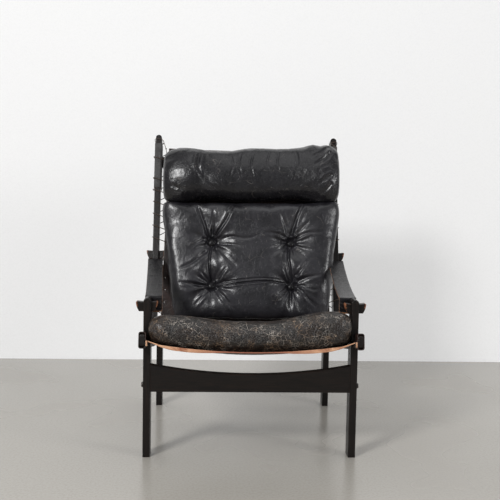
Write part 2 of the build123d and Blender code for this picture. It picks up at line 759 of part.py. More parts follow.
def corner_radii(points, wanted):
    """A radius for each corner, as large as its two runs allow, up to the wanted one."""
    radii = []
    for i in range(1, len(points) - 1):
        before = Vector(points[i]) - Vector(points[i - 1])
        after = Vector(points[i + 1]) - Vector(points[i])
        half_turn = math.radians(before.get_angle(after) / 2)
        radii.append(min(wanted, corner_share * min(before.length, after.length) / math.tan(half_turn)))
    return radii


def own_gap(path, radius):
    """The least gap that a cord leaves to itself, measured on points along its path."""
    steps = math.ceil(path.length / radius)
    along = [path @ (i / steps) for i in range(steps + 1)]
    apart = math.ceil(math.pi * lace_corner / radius) + 1
    return min((along[i] - along[j]).length for i in range(len(along))
               for j in range(i + apart, len(along))) - 2 * radius


def tube(points, wanted, radius, name):
    """A round tube along straight runs joined by tangent arcs."""
    radii = corner_radii(points, wanted)
    path = FilletPolyline(*points, radius=radii)
    start = Plane(origin=path @ 0, z_dir=path % 0)
    swept = sweep(start * Circle(radius), path=path)
    share = swept.volume / (math.pi * radius * radius * path.length)
    print(name, "radii", round(min(radii), 2), "to", round(max(radii), 2), "length",
          round(path.length, 1), "volume share", round(share, 4),
          "gap to itself", round(own_gap(path, radius), 2))
    return swept


def knotted(shape, points):
    """Add a round knot at each end of a cord."""
    for point in (points[0], points[-1]):
        shape += Pos(*point) * Sphere(knot_radius)
    return shape


lace_runs = {
    "top": (lace_top_place, lace_top_turns),
    "middle": (lace_middle_place, lace_middle_turns),
    "bottom": (lace_bottom_place, lace_bottom_turns),
}

for side, mirror_side in (("right", False), ("left", True)):
    for part_name, (start, turns) in lace_runs.items():
        points, holes = lace_points(start, turns)
        name = "back_lacing_" + part_name + "_" + side
        if mirror_side:
            cord = mirrored(pieces["back_lacing_" + part_name + "_right"])
        else:
            cord = back_frame.location * knotted(tube(points, lace_corner, lace_radius, name), points)
            for x, place in holes:
                hole = rod_y(x, -post_depth, post_depth, place, lace_radius + eyelet_fit)
                back_sheet -= hole
                back_sheet -= mirrored(hole)
        pieces[name] = cord

pieces["back_sling"] = back_frame.location * back_sheet

# Leather sleeves round the upper part of the posts
sleeve = Plane(origin=(0, 0, 0), x_dir=(1, 0, 0), z_dir=(0, -1, 0)).location * sleeve_ring(
    post_inner, post_half_span, post_half, sleeve_bottom, sleeve_top, sleeve_thick)
rail_room = back_rail_tall / 2 + sleeve_slit_gap
sleeve -= block((post_inner - post_thick, post_middle),
                (rail_back_face - back_rail_thick - sleeve_slit_gap, post_depth),
                (upper_back_rail_place - rail_room, upper_back_rail_place + rail_room))
both_sides("post_sleeve", back_frame.location * sleeve)


# Cushions: every section is four arcs, and they are lofted along the cushion
def pad_face(place_point, half, low_side, low_middle, high_side, high_middle, swell):
    """One section of a cushion from its widths and its low and high surfaces."""
    low_left, low_mid, low_right = (place_point(x, z) for x, z in
                                    ((-half, low_side), (0, low_middle), (half, low_side)))
    high_left, high_mid, high_right = (place_point(x, z) for x, z in
                                       ((-half, high_side), (0, high_middle), (half, high_side)))
    middle = (low_side + high_side) / 2
    return Face(Wire([
        ThreePointArc(low_left, low_mid, low_right),
        ThreePointArc(low_right, place_point(half + swell, middle), high_right),
        ThreePointArc(high_right, high_mid, high_left),
        ThreePointArc(high_left, place_point(-half - swell, middle), low_left),
    ]))


def rise_at(half, full_half, full_rise):
    """Rise of a shallow arc at a distance from its middle, from its rise at the full width."""
    radius = (full_half * full_half + full_rise * full_rise) / (2 * full_rise)
    return radius - math.sqrt(radius * radius - half * half)


# Seat cushion, lying in the sling between the legs
seat_faces = []
seat_low = -seat_sling_sag + soft_gap
seat_body_half = seat_pad_half - seat_pad_swell
for place, wide, thick in zip(seat_pad_place_shares, seat_pad_width_shares, seat_pad_thick_shares):
    y = -seat_pad_front + place * (seat_pad_rear + seat_pad_front)
    half = seat_body_half * wide
    lift = seat_low + (1 - thick) * seat_pad_crown * pad_lift_share
    side_low = lift + rise_at(half, seat_body_half, seat_pad_side_rise)
    seat_faces.append(pad_face(lambda x, z, y=y: (x + seat_pad_shift, y, z), half, side_low, lift,
                               side_low + seat_pad_side * thick, lift + seat_pad_crown * thick,
                               seat_pad_swell * thick))
seat_pad = seat_frame.location * loft(seat_faces)
pad_room = block((leg_inner - pad_leg_gap, leg_half_span + leg_thick),
                 (-pad_leg_gap, leg_depth + pad_leg_gap), (0, front_leg_height))
seat_pad -= pad_room
seat_pad -= mirrored(pad_room)
pieces["seat_cushion"] = seat_pad

# Back cushion, leaning on the back sling, with sewn tufts and creases
back_faces = []
back_low = back_sling_bow - back_sling_edge_depth - sling_thick - 2 * soft_gap
back_body_half = back_pad_half - back_pad_swell
for place, wide, thick in zip(back_pad_place_shares, back_pad_width_shares, back_pad_thick_shares):
    z = back_pad_bottom + place * (back_pad_top - back_pad_bottom)
    half = back_body_half * wide
    lift = back_low - (1 - thick) * back_pad_crown * pad_lift_share
    side_low = lift - rise_at(half, back_body_half, back_pad_side_set)
    back_faces.append(pad_face(lambda x, y, z=z: (x + back_pad_shift, y, z), half, side_low, lift,
                               side_low - back_pad_side * thick, lift - back_pad_crown * thick,
                               back_pad_swell * thick))
back_pad = loft(back_faces)
back_front = back_low - back_pad_crown
tuft_floor = back_front + tuft_depth
button_seats = []
rear_button_back = back_low - 2 * rear_button_thick
for across in (-1, 1):
    for up in (-1, 1):
        x = back_pad_shift + across * button_spacing_across / 2
        z = button_row_place + up * button_spacing_up / 2
        cone_tall = tuft_depth + overrun
        cone = Cone(button_radius + soft_gap, tuft_mouth, cone_tall)
        back_pad -= Pos(x, tuft_floor - cone_tall / 2, z) * Rot(90, 0, 0) * cone
        button_seats.append((x, z))
        back_pad -= rod_y(x, rear_button_back - rear_button_thick, 0, z, rear_button_radius + soft_gap)


def crease(start, end, bow):
    """A groove cut along a shallow arc on the cushion's front."""
    x_from, x_to = (back_pad_shift + p[0] * button_spacing_across / 2 for p in (start, end))
    z_from, z_to = (button_row_place + p[1] * button_spacing_up / 2 for p in (start, end))
    run = Vector(x_to - x_from, 0, z_to - z_from)
    aside = Vector(-run.Z, 0, run.X).normalized() * crease_bow * bow
    middle = Vector((x_from + x_to) / 2, back_front, (z_from + z_to) / 2) + aside
    path = ThreePointArc((x_from, back_front, z_from), middle, (x_to, back_front, z_to))
    section = Plane(origin=path @ 0, x_dir=(0, 1, 0), z_dir=path % 0)
    groove = Polygon((crease_deep, 0), (-crease_deep, crease_wide), (-crease_deep, -crease_wide), align=None)
    return sweep(section * groove, path=path)


for start, end, bow in crease_shares:
    back_pad -= crease(start, end, bow)
pieces["back_cushion"] = back_frame.location * back_pad

front_buttons = []
rear_buttons = []
for x, z in button_seats:
    body = rod_y(x, tuft_floor - button_thick, tuft_floor, z, button_radius)
    rim = body.edges().filter_by(GeomType.CIRCLE).sort_by(Axis.Y)[0]
    front_buttons.append(back_frame.location * fillet(rim, button_round))
    rear_buttons.append(back_frame.location * rod_y(x, rear_button_back - rear_button_thick,
                                                    rear_button_back, z, rear_button_radius))
pieces["front_buttons"] = Compound(children=[s for b in front_buttons for s in b.solids()])
pieces["rear_buttons"] = Compound(children=[s for b in rear_buttons for s in b.solids()])

# Head cushion: a roll that stands on the back cushion's top edge
head_bottom = back_pad_top + head_pad_rise
head_middle = head_bottom + head_pad_tall / 2
head_faces = []
for place, size in zip(head_pad_place_shares, head_pad_size_shares):
    x = head_pad_shift + place * head_pad_half
    half = head_pad_tall / 2 * size
    thick = head_pad_thick * size
    near = back_low - rise_at(abs(place) * back_body_half, back_body_half, back_pad_side_set)
    near -= (1 - size) * head_pad_thick * pad_lift_share + head_pad_back_swell
    far = near - thick
    corners = [(x, near, head_middle - half * head_pad_back_share),
               (x, near, head_middle + half * head_pad_back_share),
               (x, far, head_middle + half * head_pad_front_share),
               (x, far, head_middle - half * head_pad_front_share)]
    crowns = [(x, near + head_pad_back_swell, head_middle),
              (x, (near + far) / 2, head_middle + half),
              (x, far - head_pad_swell * size, head_middle),
              (x, (near + far) / 2, head_middle - half)]
    head_faces.append(Face(Wire([ThreePointArc(corners[i], crowns[i], corners[(i + 1) % 4])
                                 for i in range(4)])))
pieces["head_cushion"] = back_frame.location * loft(head_faces)

# Head cushion ties: each cord goes once round its post and ends in a knot at the cushion's end
tie_stand = tie_radius + lace_gap
tie_low = post_inner - tie_stand
tie_high = post_half_span + tie_stand
tie_edge = post_half + tie_stand
end_size = head_pad_size_shares[0]
tie_end_depth = (back_low - back_pad_side_set - head_pad_thick * (1 - end_size) * pad_lift_share
                 - head_pad_thick * end_size / 2)
for side, name in ((1, "right"), (-1, "left")):
    end_x = side * (head_pad_half + knot_radius + tie_end_gap) + head_pad_shift
    points = [
        (side * (post_inner - lace_gap - knot_radius), post_half / 2, tie_place),
        (side * tie_low, tie_edge, tie_place + tie_climb / 4),
        (side * tie_high, tie_edge, tie_place + tie_climb / 2),
        (side * tie_high, -tie_edge, tie_place + tie_climb),
        (side * tie_low, -tie_edge, tie_place + tie_climb),
        (end_x, tie_end_depth, tie_place - tie_fall),
    ]
    cord = tube(points, lace_corner, tie_radius, "head_tie_" + name)
    pieces["head_tie_" + name] = back_frame.location * knotted(cord, points)


# Arm straps: flat leather, turned down behind the leg and wrapped under both pegs
def strap_sweep(points, radii, middle_x, gap):
    """A flat strap, grown by a gap, along bent straight runs in one vertical plane."""
    path = FilletPolyline(*[(middle_x, p.Y, p.Z) for p in points], radius=radii)
    section = Plane(origin=path @ 0, x_dir=(1, 0, 0), z_dir=path % 0)
    return sweep(section * Rectangle(strap_wide + 2 * gap, strap_thick + 2 * gap), path=path)


strap_half = strap_thick / 2
strap_front_x = strap_front_inner + strap_wide / 2
strap_rear_x = strap_rear_inner + strap_wide / 2
strap_wall = leg_depth + strap_gap + strap_half
strap_top = front_leg_height - strap_half
tail_height = front_peg_height - peg_tall / 2 - strap_gap - strap_half
under_peg = rear_peg_place - peg_tall / 2 - strap_gap - strap_half
behind_peg = peg_depth / 2 + strap_gap + strap_half
rear_corner = in_back(0, behind_peg, under_peg)
rear_entry = in_back(0, -post_half - strap_bend - strap_thick, under_peg - strap_thick)
rear_end = in_back(0, behind_peg, rear_peg_place + peg_tall / 2)
span_start = Vector(0, strap_wall + 2 * strap_bend, strap_top)
front_points = [
    Vector(0, strap_wall - strap_tail_reach, tail_height),
    Vector(0, strap_wall, tail_height),
    Vector(0, strap_wall, strap_top),
    span_start,
]
rear_points = [rear_entry, rear_corner, rear_end]


def strap_face(share, gap):
    """The strap's section, grown by a gap, at a share of its span between the two pegs."""
    x = strap_front_x + share * (strap_rear_x - strap_front_x)
    run = rear_entry - span_start
    sag = 4 * strap_sag * share * (1 - share)
    middle = Vector(x, span_start.Y + share * run.Y, span_start.Z + share * run.Z - sag)
    first_way = Vector(0, 1, 0)
    last_way = (rear_corner - rear_entry).normalized()
    slope = math.atan2(run.Z - 4 * strap_sag * (1 - 2 * share), run.Y)
    way = Vector(0, math.cos(slope), math.sin(slope))
    if share == 0:
        way = first_way
    if share == 1:
        way = last_way
    section = Rectangle(strap_wide + 2 * gap, strap_thick + 2 * gap)
    return Plane(origin=middle, x_dir=(1, 0, 0), z_dir=way) * section


def strap_span(gap):
    """The strap between its two pegs."""
    return loft([strap_face(step / strap_span_steps, gap) for step in range(strap_span_steps + 1)])


strap = strap_sweep(front_points, [strap_bend, strap_bend], strap_front_x, 0) + strap_span(0)
strap += strap_sweep(rear_points, [strap_bend], strap_rear_x, 0)
strap_room = strap_span(strap_cushion_gap)
strap_room += strap_sweep(rear_points, [strap_bend], strap_rear_x, strap_cushion_gap)
pieces["back_cushion"] -= strap_room
slot_room = block((post_inner - strap_slot_gap, post_half_span + strap_slot_gap),
                  (-post_half - strap_slot_gap, 2 * post_depth), (0, post_length))
strap -= back_frame.location * slot_room
strap -= block((leg_inner - strap_slot_gap, leg_half_span + leg_thick), (-leg_depth, leg_depth + strap_gap),
               (0, front_leg_height))



def strap_screw(x, face, z):
    """A round-headed screw along Y, its head's underside at the given face."""
    shank = rod_y(x, face - screw_long, face + screw_head_thick, z, screw_radius)
    return shank + rod_y(x, face, face + screw_head_thick, z, screw_head_radius)


# Screws hold the strap to the leg's rear face and to the rear peg
leg_screws = []
for z in strap_screw_heights:
    strap -= rod_y(leg_middle, leg_depth, strap_face_y + overrun, z, screw_radius + screw_fit)
    leg_screws.append(strap_screw(leg_middle, strap_face_y, z))
peg_screws = []
for x in peg_screw_places:
    room = rod_y(x, 0, peg_screw_face + overrun, 0, screw_radius + screw_fit)
    strap -= back_frame.location * rear_peg_seat * room
    peg_screws.append(back_frame.location * rear_peg_seat * strap_screw(x, peg_screw_face, 0))
both_sides("arm_strap", strap)
keep_group("strap_leg_screws", leg_screws)
keep_group("strap_peg_screws", peg_screws)

# Move the chair so that the origin is on the floor under the middle of the whole
boxes = [shape.bounding_box() for shape in pieces.values()]
low = [min(getattr(box.min, axis) for box in boxes) for axis in ("X", "Y", "Z")]
high = [max(getattr(box.max, axis) for box in boxes) for axis in ("X", "Y", "Z")]
move = Pos(-(low[0] + high[0]) / 2, -(low[1] + high[1]) / 2, -low[2])
for name, shape in pieces.items():
    export_step(move * shape, "parts/" + name + ".step")
shift = move.position
print("nodes", len(pieces), "size", [round(b - a, 2) for a, b in zip(low, high)])
print("moved by", round(shift.X, 3), round(shift.Y, 3), round(shift.Z, 3))
print("pivot at", round(hinge_setback + shift.Y, 3), round(hinge_height + shift.Z, 3))
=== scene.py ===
"""Looks of a high-backed safari chair: ebonised wooden frame, leather slings and three leather cushions.

The CAD model gives the wooden frame, its bolts, nuts, washers, dowels and screws. The leather and
the cords are built here, in millimetres on the chair's own axes, and take the place of their solids.
"""

import logging
import math
from collections.abc import Sequence
from dataclasses import dataclass
from enum import Enum

import bpy
import numpy as np
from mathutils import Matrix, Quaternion, Vector, noise


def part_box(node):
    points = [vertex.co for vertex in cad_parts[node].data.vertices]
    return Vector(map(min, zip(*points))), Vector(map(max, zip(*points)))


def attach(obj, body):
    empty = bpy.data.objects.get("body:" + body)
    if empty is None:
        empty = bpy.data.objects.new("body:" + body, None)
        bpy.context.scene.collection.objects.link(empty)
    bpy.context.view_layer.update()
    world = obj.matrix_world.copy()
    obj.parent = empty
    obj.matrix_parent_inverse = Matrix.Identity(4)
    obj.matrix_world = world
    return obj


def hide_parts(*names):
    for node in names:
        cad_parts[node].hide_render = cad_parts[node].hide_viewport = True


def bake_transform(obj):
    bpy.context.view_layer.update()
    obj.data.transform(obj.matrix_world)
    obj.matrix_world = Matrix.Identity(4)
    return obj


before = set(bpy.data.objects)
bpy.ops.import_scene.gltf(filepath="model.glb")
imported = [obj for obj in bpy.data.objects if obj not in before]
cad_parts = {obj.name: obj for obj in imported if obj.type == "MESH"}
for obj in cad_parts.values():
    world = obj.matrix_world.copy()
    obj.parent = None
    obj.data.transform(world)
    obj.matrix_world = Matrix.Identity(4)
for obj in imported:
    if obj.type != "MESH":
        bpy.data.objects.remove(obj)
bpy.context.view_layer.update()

logging.basicConfig(level=logging.INFO, format="%(name)s: %(message)s")
log = logging.getLogger("chair")

MM = 0.001
Value = float | tuple[float, ...] | bpy.types.NodeSocket
SIDES = ((1, "right"), (-1, "left"))


# Axes

# The front legs' front faces in the row frame, in millimetres
ROW_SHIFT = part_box("front_leg_right")[0].y / MM


@dataclass(frozen=True)
class Axes:
    """Axes of one part of the chair, tilted about X, that turn its millimetres into the row frame.

    Args:
        setback: distance of the origin behind the front legs' front faces.
        height: height of the origin.
        tilt: angle in degrees by which the third axis leans to the rear.
    """

    setback: float
    height: float
    tilt: float

    @property
    def turn(self) -> np.ndarray:
        """Return the turn from these axes to the row frame.

        Returns:
            A matrix of 3 by 3.
        """
        lean = math.radians(self.tilt)
        cos, sin = math.cos(lean), math.sin(lean)
        return np.array([[1, 0, 0], [0, cos, sin], [0, -sin, cos]])

    @property
    def origin(self) -> np.ndarray:
        """Return the origin in the row frame, in millimetres."""
        return np.array([0, self.setback + ROW_SHIFT, self.height])

    def place(self, points: np.ndarray) -> np.ndarray:
        """Return these axes' millimetres as row frame metres."""
        return (np.asarray(points, float) @ self.turn.T + self.origin) * MM

    def own(self, points: np.ndarray) -> np.ndarray:
        """Return row frame metres as these axes' millimetres."""
        return (np.asarray(points, float) / MM - self.origin) @ self.turn


CHAIR = Axes(setback=0, height=0, tilt=0)
SEAT = Axes(setback=0, height=357.0, tilt=10.25)
BACK = Axes(setback=420.0, height=281.05, tilt=16.0)

# Section of the back posts on the back's axes, in millimetres
POST_INNER = 310.5
POST_MIDDLE = 321.5
POST_OUTER = 332.5
POST_HALF_DEPTH = 22.0

# Room for the front legs, in millimetres behind their front faces
LEG_FRONT = -3.0
LEG_REAR = 53.0


# Shader graph


def srgb(code: str) -> tuple[float, float, float, float]:
    """Return an sRGB hex colour as linear RGBA."""
    shares = [int(code[i : i + 2], 16) / 255 for i in (1, 3, 5)]
    return (*(s / 12.92 if s <= 0.04045 else ((s + 0.055) / 1.055) ** 2.4 for s in shares), 1.0)


def per(mm: float) -> float:
    """Return the scale of a pattern with features of about this many millimetres."""
    return 1 / (mm * MM)


@dataclass(frozen=True)
class Kind:
    """A kind of shader node as it is used here.

    Args:
        type: the node's type.
        inputs: the inputs that values fill, in order.
        output: the output that is used, if it has one.
        settings: its properties, as names and values.
        placed: whether it takes the pattern's coordinates when no others are given.
    """

    type: str
    inputs: tuple[str | int, ...] = ()
    output: str | int | None = 0
    settings: tuple[tuple[str, str | int], ...] = ()
    placed: bool = False


def math_kind(operation: str) -> Kind:
    """Return the kind that combines two values by an operation."""
    return Kind("ShaderNodeMath", (0, 1), 0, (("operation", operation),))


def vector_kind(operation: str, second: str | int = 1) -> Kind:
    """Return the kind that combines two vectors by an operation."""
    return Kind("ShaderNodeVectorMath", (0, second), 0, (("operation", operation),))


PLUS = math_kind("ADD")
LESS = math_kind("SUBTRACT")
TIMES = math_kind("MULTIPLY")
LARGER = math_kind("MAXIMUM")
SIZE = math_kind("ABSOLUTE")
MOVED = vector_kind("ADD")
APART = vector_kind("SUBTRACT")
SCALED = vector_kind("SCALE", "Scale")
ALIKE = Kind("ShaderNodeVectorMath", (0, 1), "Value", (("operation", "DOT_PRODUCT"),))
NOISE = Kind("ShaderNodeTexNoise", ("Scale", "Detail", "Roughness", "Distortion"), "Fac", placed=True)
COLOUR_NOISE = Kind("ShaderNodeTexNoise", ("Scale",), "Color", placed=True)
PEBBLES = Kind("ShaderNodeTexVoronoi", ("Scale", "Vector"), "Distance", (("feature", "SMOOTH_F1"),))
BORDERS = Kind("ShaderNodeTexVoronoi", ("Scale", "Vector"), "Distance", (("feature", "DISTANCE_TO_EDGE"),))
# A value that runs smoothly from start to end as the input goes from low to high
BAND = Kind("ShaderNodeMapRange", ("Value", "From Min", "From Max", "To Min", "To Max"), "Result",
            (("interpolation_type", "SMOOTHSTEP"),))
# Two colours and the share of the second
MIX = Kind("ShaderNodeMix", (6, 7, 0), 2, (("data_type", "RGBA"),))
# A relief from 0 to 1, its full height in metres and the normal below it
BUMP = Kind("ShaderNodeBump", ("Height", "Distance", "Normal"), "Normal")
OWN_PLACE = Kind("ShaderNodeTexCoord", output="Object")
BOX_PLACE = Kind("ShaderNodeTexCoord", output="Generated")
STRETCHED = Kind("ShaderNodeMapping", ("Vector", "Scale"), "Vector")
ACROSS = Kind("ShaderNodeSeparateXYZ", ("Vector",), "X")
ROUNDED_NORMAL = Kind("ShaderNodeBevel", ("Radius",), "Normal", (("samples", 4),))
TRUE_NORMAL = Kind("ShaderNodeNewGeometry", output="Normal")
BEHIND = Kind("ShaderNodeNewGeometry", output="Backfacing")
PRINCIPLED = Kind("ShaderNodeBsdfPrincipled", output="BSDF")
CLEAR = Kind("ShaderNodeBsdfTransparent", output="BSDF")
EITHER = Kind("ShaderNodeMixShader", (0, 1, 2), "Shader")
END = Kind("ShaderNodeOutputMaterial", ("Surface",), None)


class Graph:
    """A material's node tree, filled by short calls."""

    def __init__(self, name: str, stretch: tuple[float, float, float] = (1, 1, 1)) -> None:
        """Start the tree of a new material.

        Args:
            name: the material's name.
            stretch: scale of the pattern along X, Y and Z.
        """
        self.material = bpy.data.materials.new(name)
        self.material.use_nodes = True
        self.tree = self.material.node_tree
        self.tree.nodes.clear()
        self.place = self.add(STRETCHED, self.add(OWN_PLACE), stretch)

    def add(self, kind: Kind, *values: Value, **named: Value) -> bpy.types.NodeSocket | None:
        """Add a node, set its properties, then fill or link its inputs.

        Args:
            kind: the kind of node.
            values: values or links for the kind's inputs, in order.
            named: more of them by the input's name, with underscores.

        Returns:
            The output that the kind uses.
        """
        node = self.tree.nodes.new(kind.type)
        for key, value in kind.settings:
            setattr(node, key, value)
        inputs = {"Vector": self.place} if kind.placed else {}
        inputs.update(zip(kind.inputs, values))
        inputs.update((key.replace("_", " "), value) for key, value in named.items())
        for key, value in inputs.items():
            if isinstance(value, bpy.types.NodeSocket):
                self.tree.links.new(value, node.inputs[key])
            else:
                node.inputs[key].default_value = value
        return None if kind.output is None else node.outputs[kind.output]

    def warped(self, mm: float, reach: float) -> bpy.types.NodeSocket:
        """Return the pattern's coordinates pushed about by noise, both in millimetres.

        Args:
            mm: size of the noise's features.
            reach: how far it pushes.

        Returns:
            The coordinates.
        """
        push = self.add(APART, self.add(COLOUR_NOISE, per(mm)), (0.5, 0.5, 0.5))
        return self.add(MOVED, self.place, self.add(SCALED, push, reach * MM))

    def border(self, gap: Value, wide: float) -> bpy.types.NodeSocket:
        """Return 1 on the borders of cells, falling to 0 at this share of a cell from them."""
        return self.add(LESS, 1.0, self.add(BAND, gap, 0.0, wide))

    def from_middle(self, vector: bpy.types.NodeSocket, middle: float = 0.0) -> bpy.types.NodeSocket:
        """Return how far coordinates lie from a middle across the chair, to either side."""
        return self.add(SIZE, self.add(LESS, self.add(ACROSS, vector), middle))

    def edge_wear(self, mm: float) -> bpy.types.NodeSocket:
        """Return 0 on faces to about 1 on outer and inner edges, from a bevelled normal.

        Args:
            mm: how far the wear reaches from an edge.

        Returns:
            The wear.
        """
        alike = self.add(ALIKE, self.add(ROUNDED_NORMAL, mm * MM), self.add(TRUE_NORMAL))
        return self.add(BAND, self.add(LESS, 1.0, alike), 0.01, 0.16)

    def surface(self, one_sided: bool = False, **inputs: Value) -> bpy.types.Material:
        """End the graph in a Principled surface, its inputs named with underscores.

        Args:
            one_sided: whether the surface can't be seen from behind.
            inputs: the surface's values and links.

        Returns:
            The finished material.
        """
        shader = self.add(PRINCIPLED, **inputs)
        if one_sided:
            shader = self.add(EITHER, self.add(BEHIND), shader, self.add(CLEAR))
        self.add(END, shader)
        return self.material


# Finishes


class Grain(Enum):
    """Direction of a wooden piece's grain, as the pattern's scale along X, Y and Z."""

    ACROSS = (0.05, 1.0, 1.0)
    DEEP = (1.0, 0.05, 1.0)
    UP = (1.0, 1.0, 0.05)


@dataclass(frozen=True)
class Finish:
    """A finish that makes one material and gives it to pieces.

    Args:
        name: the material's name.
        slot: the record's material slot; not used.
    """

    name: str
    slot: str

    def build(self) -> bpy.types.Material:
        """Make the material."""
        raise NotImplementedError

    def material(self) -> bpy.types.Material:
        """Return the material, made once."""
        return bpy.data.materials.get(self.name) or self.build()

    def dress(self, *objects: bpy.types.Object, cut: "Finish | None" = None) -> None:
        """Give the finish to objects, with another for their cut edges.

        Args:
            objects: the pieces.
            cut: finish of the cut edges, which have the second slot.
        """
        for obj in objects:
            slots = obj.data.materials
            while len(slots) < (2 if cut else 1):
                slots.append(None)
            slots[0] = self.material()
            if cut:
                slots[1] = cut.material()


@dataclass(frozen=True)
class EbonisedWood(Finish):
    """Open-pored hardwood stained black and waxed, rubbed brown on its edges.

    Args:
        grain: direction of the grain.
        worn: how far the stain has gone from the edges, 0 to 1.
        under: colour of the wood below the stain.
        reach: how far from an edge the stain has gone, in millimetres.
        ends: share of the length worn through at both ends across the chair.
    """

    grain: Grain = Grain.UP
    worn: float = 0.5
    under: str = "#5a3520"
    reach: float = 1.8
    ends: float = 0.0

    def build(self) -> bpy.types.Material:
        """Black stain over dark pores; wax gives a satin sheen and the rubbed edges show warm wood.

        Returns:
            The material.
        """
        g = Graph(self.name, self.grain.value)
        streak = g.add(NOISE, per(2.4), 5.0, 0.62, 0.4)
        figure = g.add(NOISE, per(14.0), 3.0, 0.5, 1.2)
        pore = g.add(BAND, g.add(NOISE, per(0.7), 2.0, 0.6), 0.56, 0.68)
        stain = g.add(MIX, srgb("#0b0807"), srgb("#1a120e"), g.add(BAND, streak, 0.35, 0.72))
        stain = g.add(MIX, stain, srgb("#2a1c15"), g.add(BAND, figure, 0.55, 0.8, 0.0, 0.45))
        rub = g.add(TIMES, g.edge_wear(self.reach), g.add(BAND, g.add(NOISE, per(9.0), 4.0, 0.7), 0.42, 0.62))
        rub = g.add(TIMES, rub, self.worn)
        if self.ends:
            ragged = g.add(BAND, g.add(NOISE, per(5.0), 3.0, 0.6), 0.3, 0.7, -0.04, 0.04)
            off = g.add(PLUS, g.from_middle(g.add(BOX_PLACE), 0.5), ragged)
            rub = g.add(LARGER, rub, g.add(BAND, off, 0.5 - self.ends, 0.5))
        colour = g.add(MIX, stain, srgb(self.under), rub)
        relief = g.add(LESS, g.add(TIMES, streak, 0.5), pore)
        rough = g.add(PLUS, g.add(BAND, streak, 0.3, 0.75, 0.32, 0.44), g.add(TIMES, rub, 0.18))
        return g.surface(Base_Color=colour, Roughness=rough, Normal=g.add(BUMP, relief, 0.06 * MM),
                         Specular_IOR_Level=0.35)


@dataclass(frozen=True)
class Leather(Finish):
    """Aniline leather with pebble grain, fine wrinkles and rubbed places.

    Args:
        base: main colour.
        shade: colour of the darker clouds.
        rubbed: colour where hands and backs have worn the dye.
        grain: size of the pebble grain.
        gloss: roughness of the polished places.
        crack: strength of the network of pale cracks, 0 for none.
        wrinkle: height of the fine wrinkles in millimetres.
        glaze: strength of the clear dressing on top.
        shine: strength of the leather's own reflection.
    """

    base: str = "#242327"
    shade: str = "#151418"
    rubbed: str = "#37343a"
    grain: float = 1.3
    gloss: float = 0.31
    crack: float = 0.0
    wrinkle: float = 0.16
    glaze: float = 0.25
    shine: float = 0.5

    def build(self) -> bpy.types.Material:
        """Dyed hide: grain cells break up the highlight, clouds and rub marks vary its colour.

        Returns:
            The material.
        """
        g = Graph(self.name)
        cloud = g.add(NOISE, per(60.0), 4.0, 0.55, 0.6)
        smudge = g.add(NOISE, per(9.0), 5.0, 0.65, 0.8)
        pebble = g.add(PEBBLES, per(self.grain), g.warped(4.0, 1.2))
        vein = g.add(BORDERS, per(7.0), g.warped(11.0, 9.0))
        fold = g.add(BORDERS, per(15.0), g.warped(22.0, 20.0))
        scar = g.add(BORDERS, per(70.0), g.warped(60.0, 70.0))
        colour = g.add(MIX, srgb(self.base), srgb(self.shade), g.add(BAND, cloud, 0.38, 0.66))
        colour = g.add(MIX, colour, srgb(self.rubbed), g.add(BAND, smudge, 0.56, 0.78, 0.0, 0.75))
        rough = g.add(PLUS, g.add(BAND, smudge, 0.3, 0.75, self.gloss - 0.03, self.gloss + 0.08),
                      g.add(BAND, pebble, 0.2, 0.8, 0.0, 0.05))
        fine = g.add(BAND, vein, 0.0, 0.09)
        broad = g.add(BAND, fold, 0.0, 0.12)
        handled = g.add(BAND, g.add(NOISE, per(30.0), 4.0, 0.65), 0.5, 0.62)
        scuff = g.add(TIMES, g.border(scar, 0.012), handled)
        colour = g.add(MIX, colour, srgb("#8d8681"), g.add(TIMES, scuff, 0.35))
        if self.crack:
            dry = g.add(BAND, g.add(NOISE, per(48.0), 4.0, 0.6), 0.46, 0.6)
            split = g.add(TIMES, g.border(fold, 0.03), dry)
            craze = g.add(BORDERS, per(7.0), g.warped(9.0, 9.0))
            flaked = g.add(BAND, g.add(NOISE, per(34.0), 5.0, 0.75), 0.47, 0.66, 0.04, 0.85)
            hair = g.add(TIMES, g.border(craze, 0.1), flaked)
            mark = g.add(TIMES, g.add(LARGER, split, hair), self.crack)
            dust = g.add(MIX, srgb("#a08468"), srgb("#c9beb2"), g.add(BAND, cloud, 0.4, 0.6))
            colour = g.add(MIX, colour, dust, mark)
            rough = g.add(PLUS, rough, g.add(TIMES, mark, 0.3))
        normal = g.add(BUMP, broad, self.wrinkle * MM)
        normal = g.add(BUMP, fine, self.wrinkle * 0.45 * MM, normal)
        normal = g.add(BUMP, smudge, self.wrinkle * 0.25 * MM, normal)
        normal = g.add(BUMP, pebble, 0.06 * MM, normal)
        return g.surface(Base_Color=colour, Roughness=rough, Normal=normal, Coat_Weight=self.glaze,
                         Coat_Roughness=0.24, Specular_IOR_Level=self.shine)


